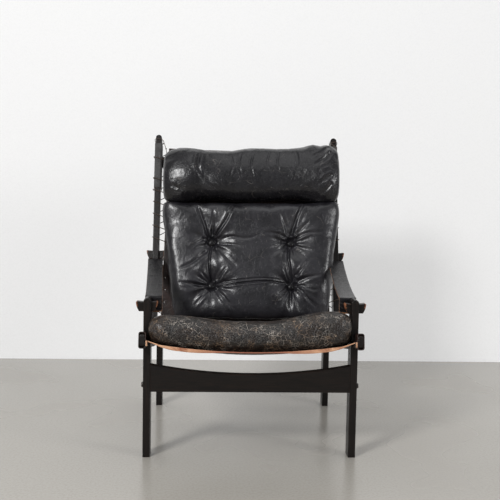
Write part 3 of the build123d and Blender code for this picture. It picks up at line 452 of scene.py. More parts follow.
@dataclass(frozen=True)
class RawLeather(Finish):
    """Undyed flesh side and cut edges of thick leather: fibrous, matt, darkened by handling.

    Args:
        base: main colour.
        dark: colour of the soiled parts.
        middle: colour in the middle of the chair, as base if left out.
    """

    base: str = "#c08a5c"
    dark: str = "#7d4c30"
    middle: str = ""

    def build(self) -> bpy.types.Material:
        """Fibres scatter the light, so the colour is flat and warm with no highlight.

        Returns:
            The material.
        """
        g = Graph(self.name)
        fibre = g.add(NOISE, per(1.1), 4.0, 0.7, 1.5)
        soil = g.add(NOISE, per(30.0), 3.0, 0.6, 0.5)
        colour = g.add(MIX, srgb(self.base), srgb(self.dark), g.add(BAND, soil, 0.36, 0.7))
        colour = g.add(MIX, colour, srgb(self.dark), g.add(BAND, fibre, 0.5, 0.75, 0.0, 0.6))
        if self.middle:
            off = g.add(PLUS, g.from_middle(g.place), g.add(BAND, soil, 0.3, 0.7, -0.05, 0.05))
            colour = g.add(MIX, colour, srgb(self.middle), g.add(BAND, off, 0.06, 0.2, 0.85, 0.0))
        return g.surface(Base_Color=colour, Roughness=g.add(BAND, fibre, 0.3, 0.7, 0.6, 0.8),
                         Normal=g.add(BUMP, fibre, 0.15 * MM), Sheen_Weight=0.15, Sheen_Roughness=0.6)


@dataclass(frozen=True)
class Steel(Finish):
    """Forged steel blackened in oil, with patches of brown rust."""

    def build(self) -> bpy.types.Material:
        """Oil-blacked metal: dark reflection, brighter where rubbed, dull brown where it has rusted.

        Returns:
            The material.
        """
        g = Graph(self.name)
        hammer = g.add(NOISE, per(3.5), 3.0, 0.55)
        speck = g.add(NOISE, per(0.9), 4.0, 0.7)
        rust = g.add(BAND, g.add(NOISE, per(5.0), 4.0, 0.65), 0.55, 0.7)
        colour = g.add(MIX, srgb("#4a4745"), srgb("#7c7872"), g.edge_wear(0.7))
        colour = g.add(MIX, colour, srgb("#4a2c1b"), g.add(TIMES, rust, 0.7))
        rough = g.add(PLUS, g.add(BAND, speck, 0.3, 0.7, 0.34, 0.5), g.add(TIMES, rust, 0.3))
        return g.surface(Base_Color=colour, Metallic=g.add(BAND, rust, 0.0, 1.0, 1.0, 0.35), Roughness=rough,
                         Normal=g.add(BUMP, g.add(PLUS, hammer, speck), 0.09 * MM))


@dataclass(frozen=True)
class Cord(Finish):
    """Waxed linen cord, brown with darker handled places."""

    def build(self) -> bpy.types.Material:
        """Wax fills the fibres: a soft low sheen over a mottled brown.

        Returns:
            The material.
        """
        g = Graph(self.name)
        fibre = g.add(NOISE, per(0.5), 3.0, 0.6, 2.0)
        soil = g.add(NOISE, per(14.0), 3.0, 0.6)
        colour = g.add(MIX, srgb("#2c211a"), srgb("#5c4634"), g.add(BAND, fibre, 0.35, 0.7))
        colour = g.add(MIX, colour, srgb("#241a15"), g.add(BAND, soil, 0.45, 0.7, 0.0, 0.7))
        return g.surface(Base_Color=colour, Roughness=g.add(BAND, fibre, 0.3, 0.7, 0.45, 0.6),
                         Normal=g.add(BUMP, fibre, 0.2 * MM), Coat_Weight=0.1, Coat_Roughness=0.5)


@dataclass(frozen=True)
class Ground(Finish):
    """Painted plaster or pale terrazzo for the backdrop and floor.

    Args:
        tone: main colour.
        fleck: colour of the flecks.
        rough: mean roughness.
        glow: light that it gives by itself.
    """

    tone: str = "#f4f4f4"
    fleck: str = "#eeeeee"
    rough: float = 0.6
    glow: float = 0.0

    def build(self) -> bpy.types.Material:
        """Pale ground whose fine flecks keep the floor from looking like paper.

        Returns:
            The material.
        """
        g = Graph(self.name)
        fine = g.add(NOISE, per(7.0), 4.0, 0.7)
        wide = g.add(NOISE, per(420.0), 2.0, 0.5)
        colour = g.add(MIX, srgb(self.tone), srgb(self.fleck), g.add(BAND, fine, 0.4, 0.7))
        rough = g.add(BAND, wide, 0.3, 0.7, self.rough - 0.06, self.rough + 0.06)
        return g.surface(self.glow > 0, Base_Color=colour, Roughness=rough, Emission_Color=colour,
                         Emission_Strength=self.glow)


LEG_WOOD = EbonisedWood("ebonised beech, waxed, upright grain", "ebonised_wood", Grain.UP, worn=0.45)
RAIL_WOOD = EbonisedWood("ebonised beech, waxed, grain to the rear", "ebonised_wood", Grain.DEEP, worn=0.5)
CROSS_WOOD = EbonisedWood("ebonised beech, waxed, grain across", "ebonised_wood", Grain.ACROSS, worn=0.45)
PEG_WOOD = EbonisedWood("ebonised beech pegs, worn through", "bare_wood", Grain.ACROSS, worn=0.9,
                        under="#8e5a3c", reach=3.0, ends=0.09)
BACK_LEATHER = Leather("charcoal aniline hide, glazed", "charcoal_leather")
# A darker copy of the back's charcoal leather for the head roll: painted shade.
SHADED_HEAD_LEATHER = Leather("charcoal aniline hide, darkened as painted shade", "charcoal_leather", base="#1d1c1f",
                       shade="#111013", rubbed="#2c2a2d", gloss=0.27, shine=0.42)
SEAT_LEATHER = Leather("brown-black hide, cracked dry", "brown_leather", base="#1d1511", shade="#0f0c0a",
                       rubbed="#382c25", grain=1.5, gloss=0.34, crack=0.85, wrinkle=0.6, glaze=0.15)
SLING_LEATHER = Leather("red-brown saddle hide, oiled", "saddle_leather", base="#2c1a15", shade="#190f0c",
                        rubbed="#45281d", grain=1.6, gloss=0.42, wrinkle=0.2, glaze=0.0)
STRAP_LEATHER = Leather("grey-black bridle hide, waxed", "strap_leather", base="#1b1a1c", shade="#111012",
                        rubbed="#363332", grain=1.0, gloss=0.27, wrinkle=0.12, glaze=0.0, shine=0.25)
SLEEVE_LEATHER = Leather("grey-black hide, scuffed matt", "strap_leather", base="#403f3f", shade="#282727",
                         rubbed="#666260", grain=1.6, gloss=0.5, wrinkle=0.35, glaze=0.0)
CUT_EDGE = RawLeather("cut edge of tanned hide", "saddle_leather", base="#9a6a44", dark="#573420")
HEM_LEATHER = RawLeather("flesh side of saddle hide", "saddle_leather", base="#d8a883", dark="#8f5436",
                         middle="#8a4630")
STEEL = Steel("forged steel, oil-blacked", "dark_steel")
CORD = Cord("waxed linen cord", "waxed_cord")


# Mesh tools


def link(name: str, data: bpy.types.ID) -> bpy.types.Object:
    """Make an object in the scene from a mesh or curve.

    Args:
        name: the object's name.
        data: its mesh, curve, light or camera.

    Returns:
        The object.
    """
    obj = bpy.data.objects.new(name, data)
    bpy.context.scene.collection.objects.link(obj)
    return obj


def mesh_object(name: str, points: np.ndarray, faces: Sequence[Sequence[int]]) -> bpy.types.Object:
    """Make a smooth-shaded mesh object.

    Args:
        name: the object's name.
        points: its points in row frame metres.
        faces: each face's points by number.

    Returns:
        The object, in the scene.
    """
    mesh = bpy.data.meshes.new(name)
    mesh.from_pydata([tuple(p) for p in points], [], [tuple(f) for f in faces])
    mesh.validate()
    mesh.polygons.foreach_set("use_smooth", [True] * len(mesh.polygons))
    mesh.update()
    return link(name, mesh)


def paint(obj: bpy.types.Object, slot: int) -> None:
    """Give all of an object's faces the material in one slot."""
    obj.data.polygons.foreach_set("material_index", [slot] * len(obj.data.polygons))


def settle(obj: bpy.types.Object) -> None:
    """Apply an object's modifiers to its mesh.

    Args:
        obj: the mesh object, which gets a new mesh.
    """
    graph = bpy.context.evaluated_depsgraph_get()
    mesh = bpy.data.meshes.new_from_object(obj.evaluated_get(graph))
    obj.modifiers.clear()
    obj.data = mesh
    mesh.polygons.foreach_set("use_smooth", [True] * len(mesh.polygons))


def get_points(mesh: bpy.types.Mesh) -> np.ndarray:
    """Return a mesh's points in row frame metres.

    Args:
        mesh: the mesh.

    Returns:
        One row for each point.
    """
    flat = np.empty(len(mesh.vertices) * 3)
    mesh.vertices.foreach_get("co", flat)
    return flat.reshape(-1, 3)


def set_points(mesh: bpy.types.Mesh, points: np.ndarray) -> None:
    """Move a mesh's points."""
    mesh.vertices.foreach_set("co", np.asarray(points, float).ravel())
    mesh.update()


def get_normals(mesh: bpy.types.Mesh) -> np.ndarray:
    """Return a mesh's point normals.

    Args:
        mesh: the mesh.

    Returns:
        One row for each point.
    """
    flat = np.empty(len(mesh.vertices) * 3)
    mesh.vertex_normals.foreach_get("vector", flat)
    return flat.reshape(-1, 3)


def relax(obj: bpy.types.Object, rounds: int) -> None:
    """Even out a mesh by moving its points halfway towards their neighbours' middle.

    Args:
        obj: the mesh object.
        rounds: how often every point moves.
    """
    mesh = obj.data
    pairs = np.empty(len(mesh.edges) * 2, int)
    mesh.edges.foreach_get("vertices", pairs)
    first, second = pairs.reshape(-1, 2).T
    points = get_points(mesh)
    count = np.bincount(pairs, minlength=len(points))[:, None]
    for _ in range(rounds):
        near = np.stack([np.bincount(first, points[second, k], len(points))
                         + np.bincount(second, points[first, k], len(points)) for k in range(3)], axis=1)
        points += 0.5 * (near / count - points)
    set_points(mesh, points)


def cloud(points: np.ndarray, mm: float, seed: float = 0.0) -> np.ndarray:
    """Return smooth noise at points.

    Args:
        points: the points in millimetres.
        mm: size of the noise's features.
        seed: shift that gives another pattern.

    Returns:
        A value from -1 to 1 for each point.
    """
    scaled = np.asarray(points, float) / mm + seed
    return np.array([noise.noise(Vector(p)) for p in scaled])


def smooth_step(values: np.ndarray, low: float, high: float) -> np.ndarray:
    """Return 0 below low to 1 above high, with a smooth run between."""
    share = np.clip((values - low) / (high - low), 0, 1)
    return share * share * (3 - 2 * share)


def soft_above(values: np.ndarray, floor: np.ndarray | float, soft: float) -> np.ndarray:
    """Return values kept above a floor, with a smooth run where they come near it."""
    return 0.5 * (values + floor + np.sqrt((values - floor) ** 2 + soft * soft))


def cell_means(values: np.ndarray) -> np.ndarray:
    """Return the mean of the four corners of each cell of a grid."""
    return (values[:-1, :-1] + values[1:, :-1] + values[:-1, 1:] + values[1:, 1:]) / 4


def bent_line(points: Sequence[Sequence[float]], bend: float, step: float) -> np.ndarray:
    """Return points along straight runs whose corners are rounded.

    Args:
        points: the corners, in any number of dimensions.
        bend: reach of each rounding along both of its runs.
        step: spacing of the points.

    Returns:
        Points about a step apart, the first and last corner among them.
    """
    corners = [np.array(p, float) for p in points]
    line = [corners[0]]
    for before, corner, after in zip(corners, corners[1:], corners[2:]):
        start = corner + (before - corner) * min(0.5, bend / np.linalg.norm(before - corner))
        end = corner + (after - corner) * min(0.5, bend / np.linalg.norm(after - corner))
        line += [(1 - t) ** 2 * start + 2 * t * (1 - t) * corner + t * t * end for t in np.linspace(0, 1, 7)]
    line.append(corners[-1])
    path = np.array(line)
    run = np.concatenate([[0], np.cumsum(np.linalg.norm(np.diff(path, axis=0), axis=1))])
    where = np.linspace(0, run[-1], max(2, round(run[-1] / step) + 1))
    return np.stack([np.interp(where, run, path[:, k]) for k in range(path.shape[1])], axis=1)


def sheet_object(name: str, grid: np.ndarray, thick: float, keep: np.ndarray | None = None,
                 closed: bool = False, rounding: float = 0.5) -> bpy.types.Object:
    """Make a sheet with thickness and rounded cut edges from a grid of points on its middle surface.

    Args:
        name: the piece's name.
        grid: row frame points, rows by columns by 3.
        thick: thickness in millimetres.
        keep: which cells are there, rows less one by columns less one; all of them if left out.
        closed: whether the last column meets the first.
        rounding: how far the cut edges are rounded, in millimetres.

    Returns:
        The sheet, with its cut edges in the second of two empty material slots.
    """
    rows, columns = grid.shape[:2]
    last = columns if closed else columns - 1
    faces = []
    for i in range(rows - 1):
        for j in range(last):
            if keep is None or keep[i, j]:
                k = (j + 1) % columns
                faces.append((i * columns + j, i * columns + k, (i + 1) * columns + k, (i + 1) * columns + j))
    used = sorted({index for face in faces for index in face})
    renumber = {old: new for new, old in enumerate(used)}
    points = grid.reshape(-1, 3)[used]
    obj = mesh_object(name, points, [[renumber[i] for i in face] for face in faces])
    shell = obj.modifiers.new("thickness", "SOLIDIFY")
    shell.thickness = thick * MM
    shell.offset = 0
    shell.use_even_offset = True
    shell.material_offset_rim = 1
    if rounding:
        edge = obj.modifiers.new("rounding", "BEVEL")
        edge.width = rounding * MM
        edge.segments = 2
        edge.limit_method = "ANGLE"
        edge.angle_limit = math.radians(50)
    obj.data.materials.append(None)
    obj.data.materials.append(None)
    settle(obj)
    return obj


def sheet_area(obj: bpy.types.Object, thick: float) -> float:
    """Return the area of one side of a sheet in square metres, from its volume.

    Args:
        obj: the sheet.
        thick: its thickness in millimetres.

    Returns:
        The area.
    """
    mesh = obj.data
    mesh.calc_loop_triangles()
    points = get_points(mesh)
    corners = np.empty(len(mesh.loop_triangles) * 3, int)
    mesh.loop_triangles.foreach_get("vertices", corners)
    a, b, c = (points[corners.reshape(-1, 3)[:, k]] for k in range(3))
    return abs(float(np.einsum("ij,ij->i", a, np.cross(b, c)).sum()) / 6) / (thick * MM)


def join(name: str, parts: Sequence[bpy.types.Object]) -> bpy.types.Object:
    """Join mesh objects that share their materials' order.

    Args:
        name: the new object's name.
        parts: the objects, which go.

    Returns:
        One object with two empty material slots.
    """
    points, faces, slots = [], [], []
    start = 0
    for part in parts:
        points.append(get_points(part.data))
        for polygon in part.data.polygons:
            faces.append([start + i for i in polygon.vertices])
            slots.append(polygon.material_index)
        start += len(part.data.vertices)
        bpy.data.objects.remove(part)
    obj = mesh_object(name, np.concatenate(points), faces)
    obj.data.materials.append(None)
    obj.data.materials.append(None)
    obj.data.polygons.foreach_set("material_index", slots)
    return obj


def lathe(profile: Sequence[tuple[float, float]], turns: int = 32) -> tuple[np.ndarray, list[list[int]]]:
    """Turn a profile about its own third axis.

    Args:
        profile: points (radius, height).
        turns: number of points round the axis.

    Returns:
        The points, and the faces with a cap at both ends.
    """
    angles = np.linspace(0, 2 * math.pi, turns, endpoint=False)
    points = np.array([(r * math.cos(a), r * math.sin(a), h) for r, h in profile for a in angles])
    faces = [[i * turns + j, i * turns + k, (i + 1) * turns + k, (i + 1) * turns + j]
             for i in range(len(profile) - 1) for j, k in zip(range(turns), [*range(1, turns), 0])]
    faces.append(list(range(turns))[::-1])
    faces.append([(len(profile) - 1) * turns + j for j in range(turns)])
    return points, faces


# Padded pieces


@dataclass(frozen=True)
class Crease:
    """A fold pressed into a cushion's face along a smooth line.

    Args:
        line: points (across, along) on the face.
        deep: depth in the middle of the line.
        wide: half width.
        lip: height of the rims as a share of the depth.
        start: share of the depth left at the line's start.
        end: share of the depth left at the line's end.
    """

    line: tuple[tuple[float, float], ...]
    deep: float = 5.0
    wide: float = 5.0
    lip: float = 0.35
    start: float = 1.0
    end: float = 0.0

    def press(self, places: np.ndarray) -> np.ndarray:
        """Return how far each place goes in.

        Args:
            places: places (across, along) on the face.

        Returns:
            Depths, less than zero for a rim.
        """
        line = self._smooth_line()
        best = np.full(len(places), np.inf)
        where = np.zeros(len(places))
        for k, (p, q) in enumerate(zip(line, line[1:])):
            run = q - p
            t = np.clip(((places - p) @ run) / (run @ run), 0, 1)
            gap = np.linalg.norm(places - p - t[:, None] * run, axis=1)
            closer = gap < best
            best[closer] = gap[closer]
            where[closer] = (k + t[closer]) / (len(line) - 1)
        strength = np.minimum(1, self.start + (1 - self.start) * np.clip(where / 0.3, 0, 1))
        strength = strength * (self.end + (1 - self.end) * (1 - where**2))
        valley = np.exp(-((best / self.wide) ** 2))
        rim = np.exp(-(((best - 2.1 * self.wide) / (1.1 * self.wide)) ** 2))
        return self.deep * strength * (valley - self.lip * rim)

    def _smooth_line(self) -> np.ndarray:
        """Return a smooth curve through the line's points, in six steps from each to the next.

        Returns:
            Points (across, along) of the curve.
        """
        path = np.array(self.line, float)
        padded = np.vstack([2 * path[0] - path[1], path, 2 * path[-1] - path[-2]])
        smooth = []
        for t in np.linspace(0, len(path) - 1, 6 * (len(path) - 1) + 1):
            i = min(int(t), len(path) - 2)
            f = t - i
            a, b, c, d = padded[i : i + 4]
            smooth.append(0.5 * (2 * b + (c - a) * f + (2 * a - 5 * b + 4 * c - d) * f**2
                                 + (3 * b - a - 3 * c + d) * f**3))
        return np.array(smooth)


@dataclass
class Cushion:
    """A stuffed leather cushion, blown up from a slightly smaller copy of its solid.

    Args:
        name: the new piece's name.
        node: the CAD node that it takes the place of.
        body: the body that it rides on.
        axes: the cushion's own axes.
        front: direction of its shown face on those axes, as (axis, sign).
        finish: its leather.
        cap: how far the air may move a point.
        bag: how much larger the leather is cut than the form, which gives its loose wrinkles.
        fill: how full the stuffing is; not used.
        voxel: size of the cloth's faces in millimetres.
        ease: how far the seams' edges are rounded once it is blown up.
        creases: folds on the shown face.
        sling: the back's leather, which the cushion lies on.
        steps: how many steps of simulation blow it up.
        sling_gap: how far in front of the sling's middle it stays.
    """

    name: str
    node: str
    body: str
    axes: Axes
    front: tuple[int, int]
    finish: Finish
    cap: float = 10.0
    bag: float = 0.03
    fill: float = 0.7
    voxel: float = 8.0
    ease: int = 2
    creases: tuple[Crease, ...] = ()
    sling: "BackSling | None" = None
    steps: int = 14
    sling_gap: float = 2.4

    def build(self) -> bpy.types.Object:
        """Make the cushion and return it.

        Returns:
            The cushion.
        """
        obj = link(self.name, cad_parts[self.node].data.copy())
        grid = obj.modifiers.new("grid", "REMESH")
        grid.mode = "VOXEL"
        grid.voxel_size = self.voxel * MM
        settle(obj)
        relax(obj, 4)
        self.blow_up(obj)
        relax(obj, self.ease)
        finer = obj.modifiers.new("finer", "SUBSURF")
        finer.levels = 2
        settle(obj)
        self.sculpt(obj)
        self.finish.dress(obj)
        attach(obj, self.body)
        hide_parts(self.node)
        log.info("%s: %d points", self.name, len(obj.data.vertices))
        return obj

    def held(self, points: np.ndarray) -> np.ndarray:
        """Return how firmly each own point is held while the cushion is blown up, 0 to 1."""
        return np.zeros(len(points))

    def blow_up(self, obj: bpy.types.Object) -> None:
        """Blow the cushion up with cloth simulation and apply the result.

        Args:
            obj: the cushion.
        """
        before = get_points(obj.data)
        own = self.axes.own(before)
        group = obj.vertex_groups.new(name="held")
        for index, weight in enumerate(self.held(own)):
            if weight > 0:
                group.add([index], float(weight), "REPLACE")
        air = obj.modifiers.new("air", "CLOTH")
        cloth = air.settings
        cloth.quality = 3
        cloth.mass = 0.3
        cloth.tension_stiffness = cloth.compression_stiffness = 15
        cloth.shear_stiffness = 5
        cloth.bending_stiffness = 0.5
        cloth.use_pressure = True
        cloth.uniform_pressure_force = 4
        cloth.shrink_min = -self.bag
        cloth.effector_weights.gravity = 0
        cloth.vertex_group_mass = group.name
        for step in range(1, self.steps + 1):
            bpy.context.scene.frame_set(step)
        settle(obj)
        bpy.context.scene.frame_set(1)
        move = get_points(obj.data) - before
        length = np.linalg.norm(move, axis=1, keepdims=True)
        cap = self.cap * MM
        set_points(obj.data, before + move * np.minimum(1, cap / np.maximum(length, 1e-9)))
        obj.vertex_groups.clear()

    def facing(self, normals: np.ndarray) -> np.ndarray:
        """Return how far each row frame normal faces the front, 0 to 1.

        Args:
            normals: one row for each point.

        Returns:
            The shares.
        """
        axis, sign = self.front
        own = normals @ self.axes.turn
        return smooth_step(own[:, axis] * sign, 0.05, 0.6)

    def sculpt(self, obj: bpy.types.Object) -> None:
        """Press the folds and wrinkles into the finished form.

        Args:
            obj: the cushion.
        """
        own = self.axes.own(get_points(obj.data))
        normals = get_normals(obj.data)
        facing = self.facing(normals)
        axis, sign = self.front
        across_along = own[:, [0, 2 if axis == 1 else 1]]
        depth = np.zeros(len(own))
        for crease in self.creases:
            depth += crease.press(across_along)
        own[:, axis] -= sign * depth * facing
        own += (normals @ self.axes.turn) * self.wrinkles(own)[:, None]
        own = self.clear(own)
        if self.sling:
            across = np.clip(own[:, 0], -self.sling.half_top, self.sling.half_top)
            behind = self.sling.depth_at(across) - self.sling_gap
            own[:, 1] = -soft_above(-own[:, 1], -behind, 3.0)
        set_points(obj.data, self.axes.place(own))

    def wrinkles(self, own: np.ndarray) -> np.ndarray:
        """Return the height of loose wrinkles at own points.

        Args:
            own: points on the cushion's own axes.

        Returns:
            Heights in millimetres.
        """
        drift = own + 14.0 * np.stack([cloud(own, 70.0, seed) for seed in (3.0, 9.0, 17.0)], axis=1)
        ridge = 1 - np.abs(cloud(drift, 34.0, 5.0)) * 2.6
        small = 1 - np.abs(cloud(drift, 15.0, 21.0)) * 2.6
        return 0.55 * np.clip(ridge, -1, 1) + 0.22 * np.clip(small, -1, 1)

    def clear(self, own: np.ndarray) -> np.ndarray:
        """Keep own points clear of neighbouring pieces."""
        return own


@dataclass
class SeatCushion(Cushion):
    """The loose seat cushion, notched round the front legs and dished by use.

    Args:
        rise_right: how much the side on the right stands up.
        rise_left: how much the side on the left stands up.
        dish: how far the middle is sat in.
        leg_gap: distance of the front legs' notches from the middle.
        slope: where the rise of the sides starts and is whole, across.
        rear: where dish and rise are whole and stop, to the rear.
        spread: how much wider its front is than its solid's, as a share.
    """

    rise_right: float = 37.0
    rise_left: float = 21.0
    dish: float = 10.0
    leg_gap: float = 297.5
    slope: tuple[float, float] = (40.0, 255.0)
    rear: tuple[float, float] = (210.0, 360.0)
    spread: float = 0.008

    def held(self, points: np.ndarray) -> np.ndarray:
        """The rear end, which the back's leather lies over, doesn't move."""
        return smooth_step(points[:, 1], 290.0, 330.0)

    def clear(self, own: np.ndarray) -> np.ndarray:
        """Dish the cushion where people sit and keep it off the legs.

        Args:
            own: points on the cushion's own axes.

        Returns:
            The points where they go.
        """
        top = smooth_step(own[:, 2], 0.0, 40.0)
        rise = np.where(own[:, 0] > 0, self.rise_right, self.rise_left)
        lean = rise * smooth_step(np.abs(own[:, 0]), *self.slope) - self.dish
        own[:, 2] += top * lean * (1 - smooth_step(own[:, 1], *self.rear))
        own[:, 0] *= 1 + self.spread * (own[:, 1] < 0)
        chair = CHAIR.own(SEAT.place(own))
        by_leg = (chair[:, 1] > LEG_FRONT) & (chair[:, 1] < LEG_REAR)
        over = by_leg & (np.abs(chair[:, 0]) > self.leg_gap)
        chair[over, 0] = np.sign(chair[over, 0]) * self.leg_gap
        return SEAT.own(CHAIR.place(chair))


@dataclass
class BackCushion(Cushion):
    """The back cushion, tufted by four buttons.

    Args:
        buttons: middles of the buttons (across, up).
        askew: rise of its upper edge under the head roll, as a slope.
        head: where the stretch of its upper end starts and is whole, up.
        foot: where the stretch of its lower end is whole and stops, up.
        corner: where the corners' own stretch starts and is whole, across.
        face: where a move of the front alone starts and is whole, to the front.
        crest: height of its upper edge.
        floor: depth of the leather round a button.
        hollow: inner and outer radius of the hollow round a button.
    """

    buttons: tuple[tuple[float, float], ...] = ()
    askew: float = 0.022
    head: tuple[float, float] = (405.0, 470.0)
    foot: tuple[float, float] = (70.0, 140.0)
    corner: tuple[float, float] = (200.0, 285.0)
    face: tuple[float, float] = (30.0, 75.0)
    crest: float = 482.0
    floor: float = -67.0
    hollow: tuple[float, float] = (11.0, 34.0)

    def held(self, points: np.ndarray) -> np.ndarray:
        """The stitched tufts and the side that leans on the sling don't move.

        Args:
            points: points on the cushion's own axes.

        Returns:
            How firmly each is held, 0 to 1.
        """
        gap = np.min([np.hypot(points[:, 0] - x, points[:, 2] - z) for x, z in self.buttons], axis=0)
        tuft = 1 - smooth_step(gap, 14.0, 40.0)
        rear = smooth_step(points[:, 1], -14.0, -6.0)
        return np.maximum(tuft, rear)

    def clear(self, own: np.ndarray) -> np.ndarray:
        """Keep the leather behind the buttons, and square the corners by the head roll and the seat.

        Args:
            own: points on the cushion's own axes.

        Returns:
            The points where they go.
        """
        top = smooth_step(own[:, 2], *self.head)
        foot = 1 - smooth_step(own[:, 2], *self.foot)
        corner = smooth_step(np.abs(own[:, 0]), *self.corner)
        front = smooth_step(-own[:, 1], *self.face)
        own[:, 2] += (14.0 + 14.0 * corner) * top - 9.0 * foot * front
        own[:, 0] *= 1 + 0.035 * foot + 0.012 * top
        own[:, 1] -= 13.0 * front * smooth_step(own[:, 2], 395.0, 470.0)
        own[:, 2] = -soft_above(-own[:, 2], -self.crest - self.askew * own[:, 0], 9.0)
        for x, z in self.buttons:
            gap = np.hypot(own[:, 0] - x, own[:, 2] - z)
            limit = self.floor - 30.0 * smooth_step(gap, *self.hollow)
            low = (gap < self.hollow[1]) & (own[:, 1] < -40.0)
            own[low, 1] = np.maximum(own[low, 1], limit[low])
        return own

    def wrinkles(self, own: np.ndarray) -> np.ndarray:
        """Add folds that fan out from the buttons to the loose wrinkles.

        Args:
            own: points on the cushion's own axes.

        Returns:
            Heights in millimetres.
        """
        height = 0.6 * super().wrinkles(own)
        for index, (x, z) in enumerate(self.buttons):
            gap = np.hypot(own[:, 0] - x, own[:, 2] - z)
            angle = np.arctan2(own[:, 2] - z, own[:, 0] - x)
            fan = np.cos(7 * angle + 2.2 * np.sin(2 * angle + index * 1.7) + index)
            fan += 0.3 * np.cos(13 * angle + 2.0 * np.sin(angle) + index)
            fade = smooth_step(gap, 11.0, 22.0) * (1 - smooth_step(gap, 30.0, 112.0))
            height += 3.0 * fan * fade * (own[:, 1] < -45.0)
        return height


@dataclass
class HeadCushion(Cushion):
    """The head roll, gathered at both ends and hung a little askew by its ties.

    Args:
        middle: height of its middle.
        end_right: its right end.
        end_left: its left end.
        askew: rise across its width, as a slope.
        slim: its length beside that of its solid, as a share.
        swell: how far its left end bulges to the front.
        foot: height below which nothing of it hangs.
        crest: rises of its upper edge, as places across and heights.
    """

    middle: float = 578.0
    end_right: float = 333.0
    end_left: float = -303.0
    askew: float = 0.022
    slim: float = 0.955
    swell: float = 20.0
    foot: float = 468.0
    crest: tuple[tuple[float, ...], tuple[float, ...]] = (
        (-300, -230, -140, -50, -10, 120, 235, 262, 285, 310), (-9, -3, 5, 6, 11, 15, 17, 6, 8, 4))

    def clear(self, own: np.ndarray) -> np.ndarray:
        """Tilt the roll as its ties hold it, and give it its uneven upper edge.

        Args:
            own: points on the cushion's own axes.

        Returns:
            The points where they go.
        """
        middle = (self.end_right + self.end_left) / 2
        own[:, 0] = middle + self.slim * (own[:, 0] - middle)
        x = own[:, 0]
        own[:, 2] += np.interp(x, *self.crest) * smooth_step(own[:, 2] - self.middle, 10.0, 90.0)
        own[:, 2] -= 6.0 * smooth_step(x, 200.0, 290.0) * smooth_step(self.middle - own[:, 2], 10.0, 80.0)
        own[:, 2] = soft_above(own[:, 2], self.foot, 14.0)
        bulge = smooth_step(x, -292.0, -186.0) * (1 - smooth_step(x, -186.0, -60.0))
        own[:, 1] -= self.swell * bulge * smooth_step(-own[:, 1], 50.0, 100.0)
        own[:, 2] += self.askew * x
        return own

    def wrinkles(self, own: np.ndarray) -> np.ndarray:
        """Add puckers that run out of the gathered ends.

        Args:
            own: points on the cushion's own axes.

        Returns:
            Heights in millimetres.
        """
        height = super().wrinkles(own)
        around = np.arctan2(own[:, 2] - self.middle, own[:, 1] + 65.0)
        for end, phase, deep in ((self.end_right, 0.0, 1.8), (self.end_left, 2.0, 1.0)):
            gap = np.abs(own[:, 0] - end)
            fade = (1 - smooth_step(gap, 12.0, 84.0)) * smooth_step(gap, 2.0, 18.0)
            pucker = np.cos(8 * around + 2.4 * np.sin(2 * around + phase) + phase)
            height += deep * fade * pucker * (0.6 + 0.6 * np.sin(around + 3 * phase + 1.0))
        return height


@dataclass
class Buttons:
    """Domed leather-covered buttons in the tufts, with flat ones behind the cushion.

    Args:
        places: middles of the buttons (across, up).
        floor: depth of the front ones' rims.
        rear_face: depth of the rear ones.
    """

    places: tuple[tuple[float, float], ...]
    floor: float = -68.1
    rear_face: float = -9.1

    def build(self) -> None:
        """Make both sets."""
        dome = [(0.01, -7.0), (3.5, -6.8), (7.0, -6.0), (9.8, -4.4), (11.4, -2.4), (12.0, 0.2), (10.5, 1.6)]
        self._set("leather_buttons_front", "front_buttons", dome[::-1], self.floor)
        disc = [(10.2, 3.0), (11.0, 2.2), (11.0, 0.8), (10.2, 0.0), (0.01, 0.0)]
        self._set("leather_buttons_rear", "rear_buttons", disc, self.rear_face)

    def _set(self, name: str, node: str, profile: list[tuple[float, float]], depth: float) -> None:
        """Make one set, each button a little out of round.

        Args:
            name: the piece's name.
            node: the CAD node that it takes the place of.
            profile: half a button's outline (radius, height).
            depth: depth of its foot on the back's axes.
        """
        points, faces = [], []
        for x, z in self.places:
            turned, polygons = lathe(profile)
            wobble = 1 + 0.03 * np.sin(3 * np.arctan2(turned[:, 1], turned[:, 0]) + x)
            faces += [[i + len(points) for i in p] for p in polygons]
            points += [(x + p[0] * w, depth + p[2], z + p[1] * w) for p, w in zip(turned, wobble)]
        obj = mesh_object(name, BACK.place(np.array(points)), faces)
        STRAP_LEATHER.dress(obj)
        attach(obj, "back")
        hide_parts(node)
        log.info("%s: %d buttons", name, len(self.places))


# Sheets and straps


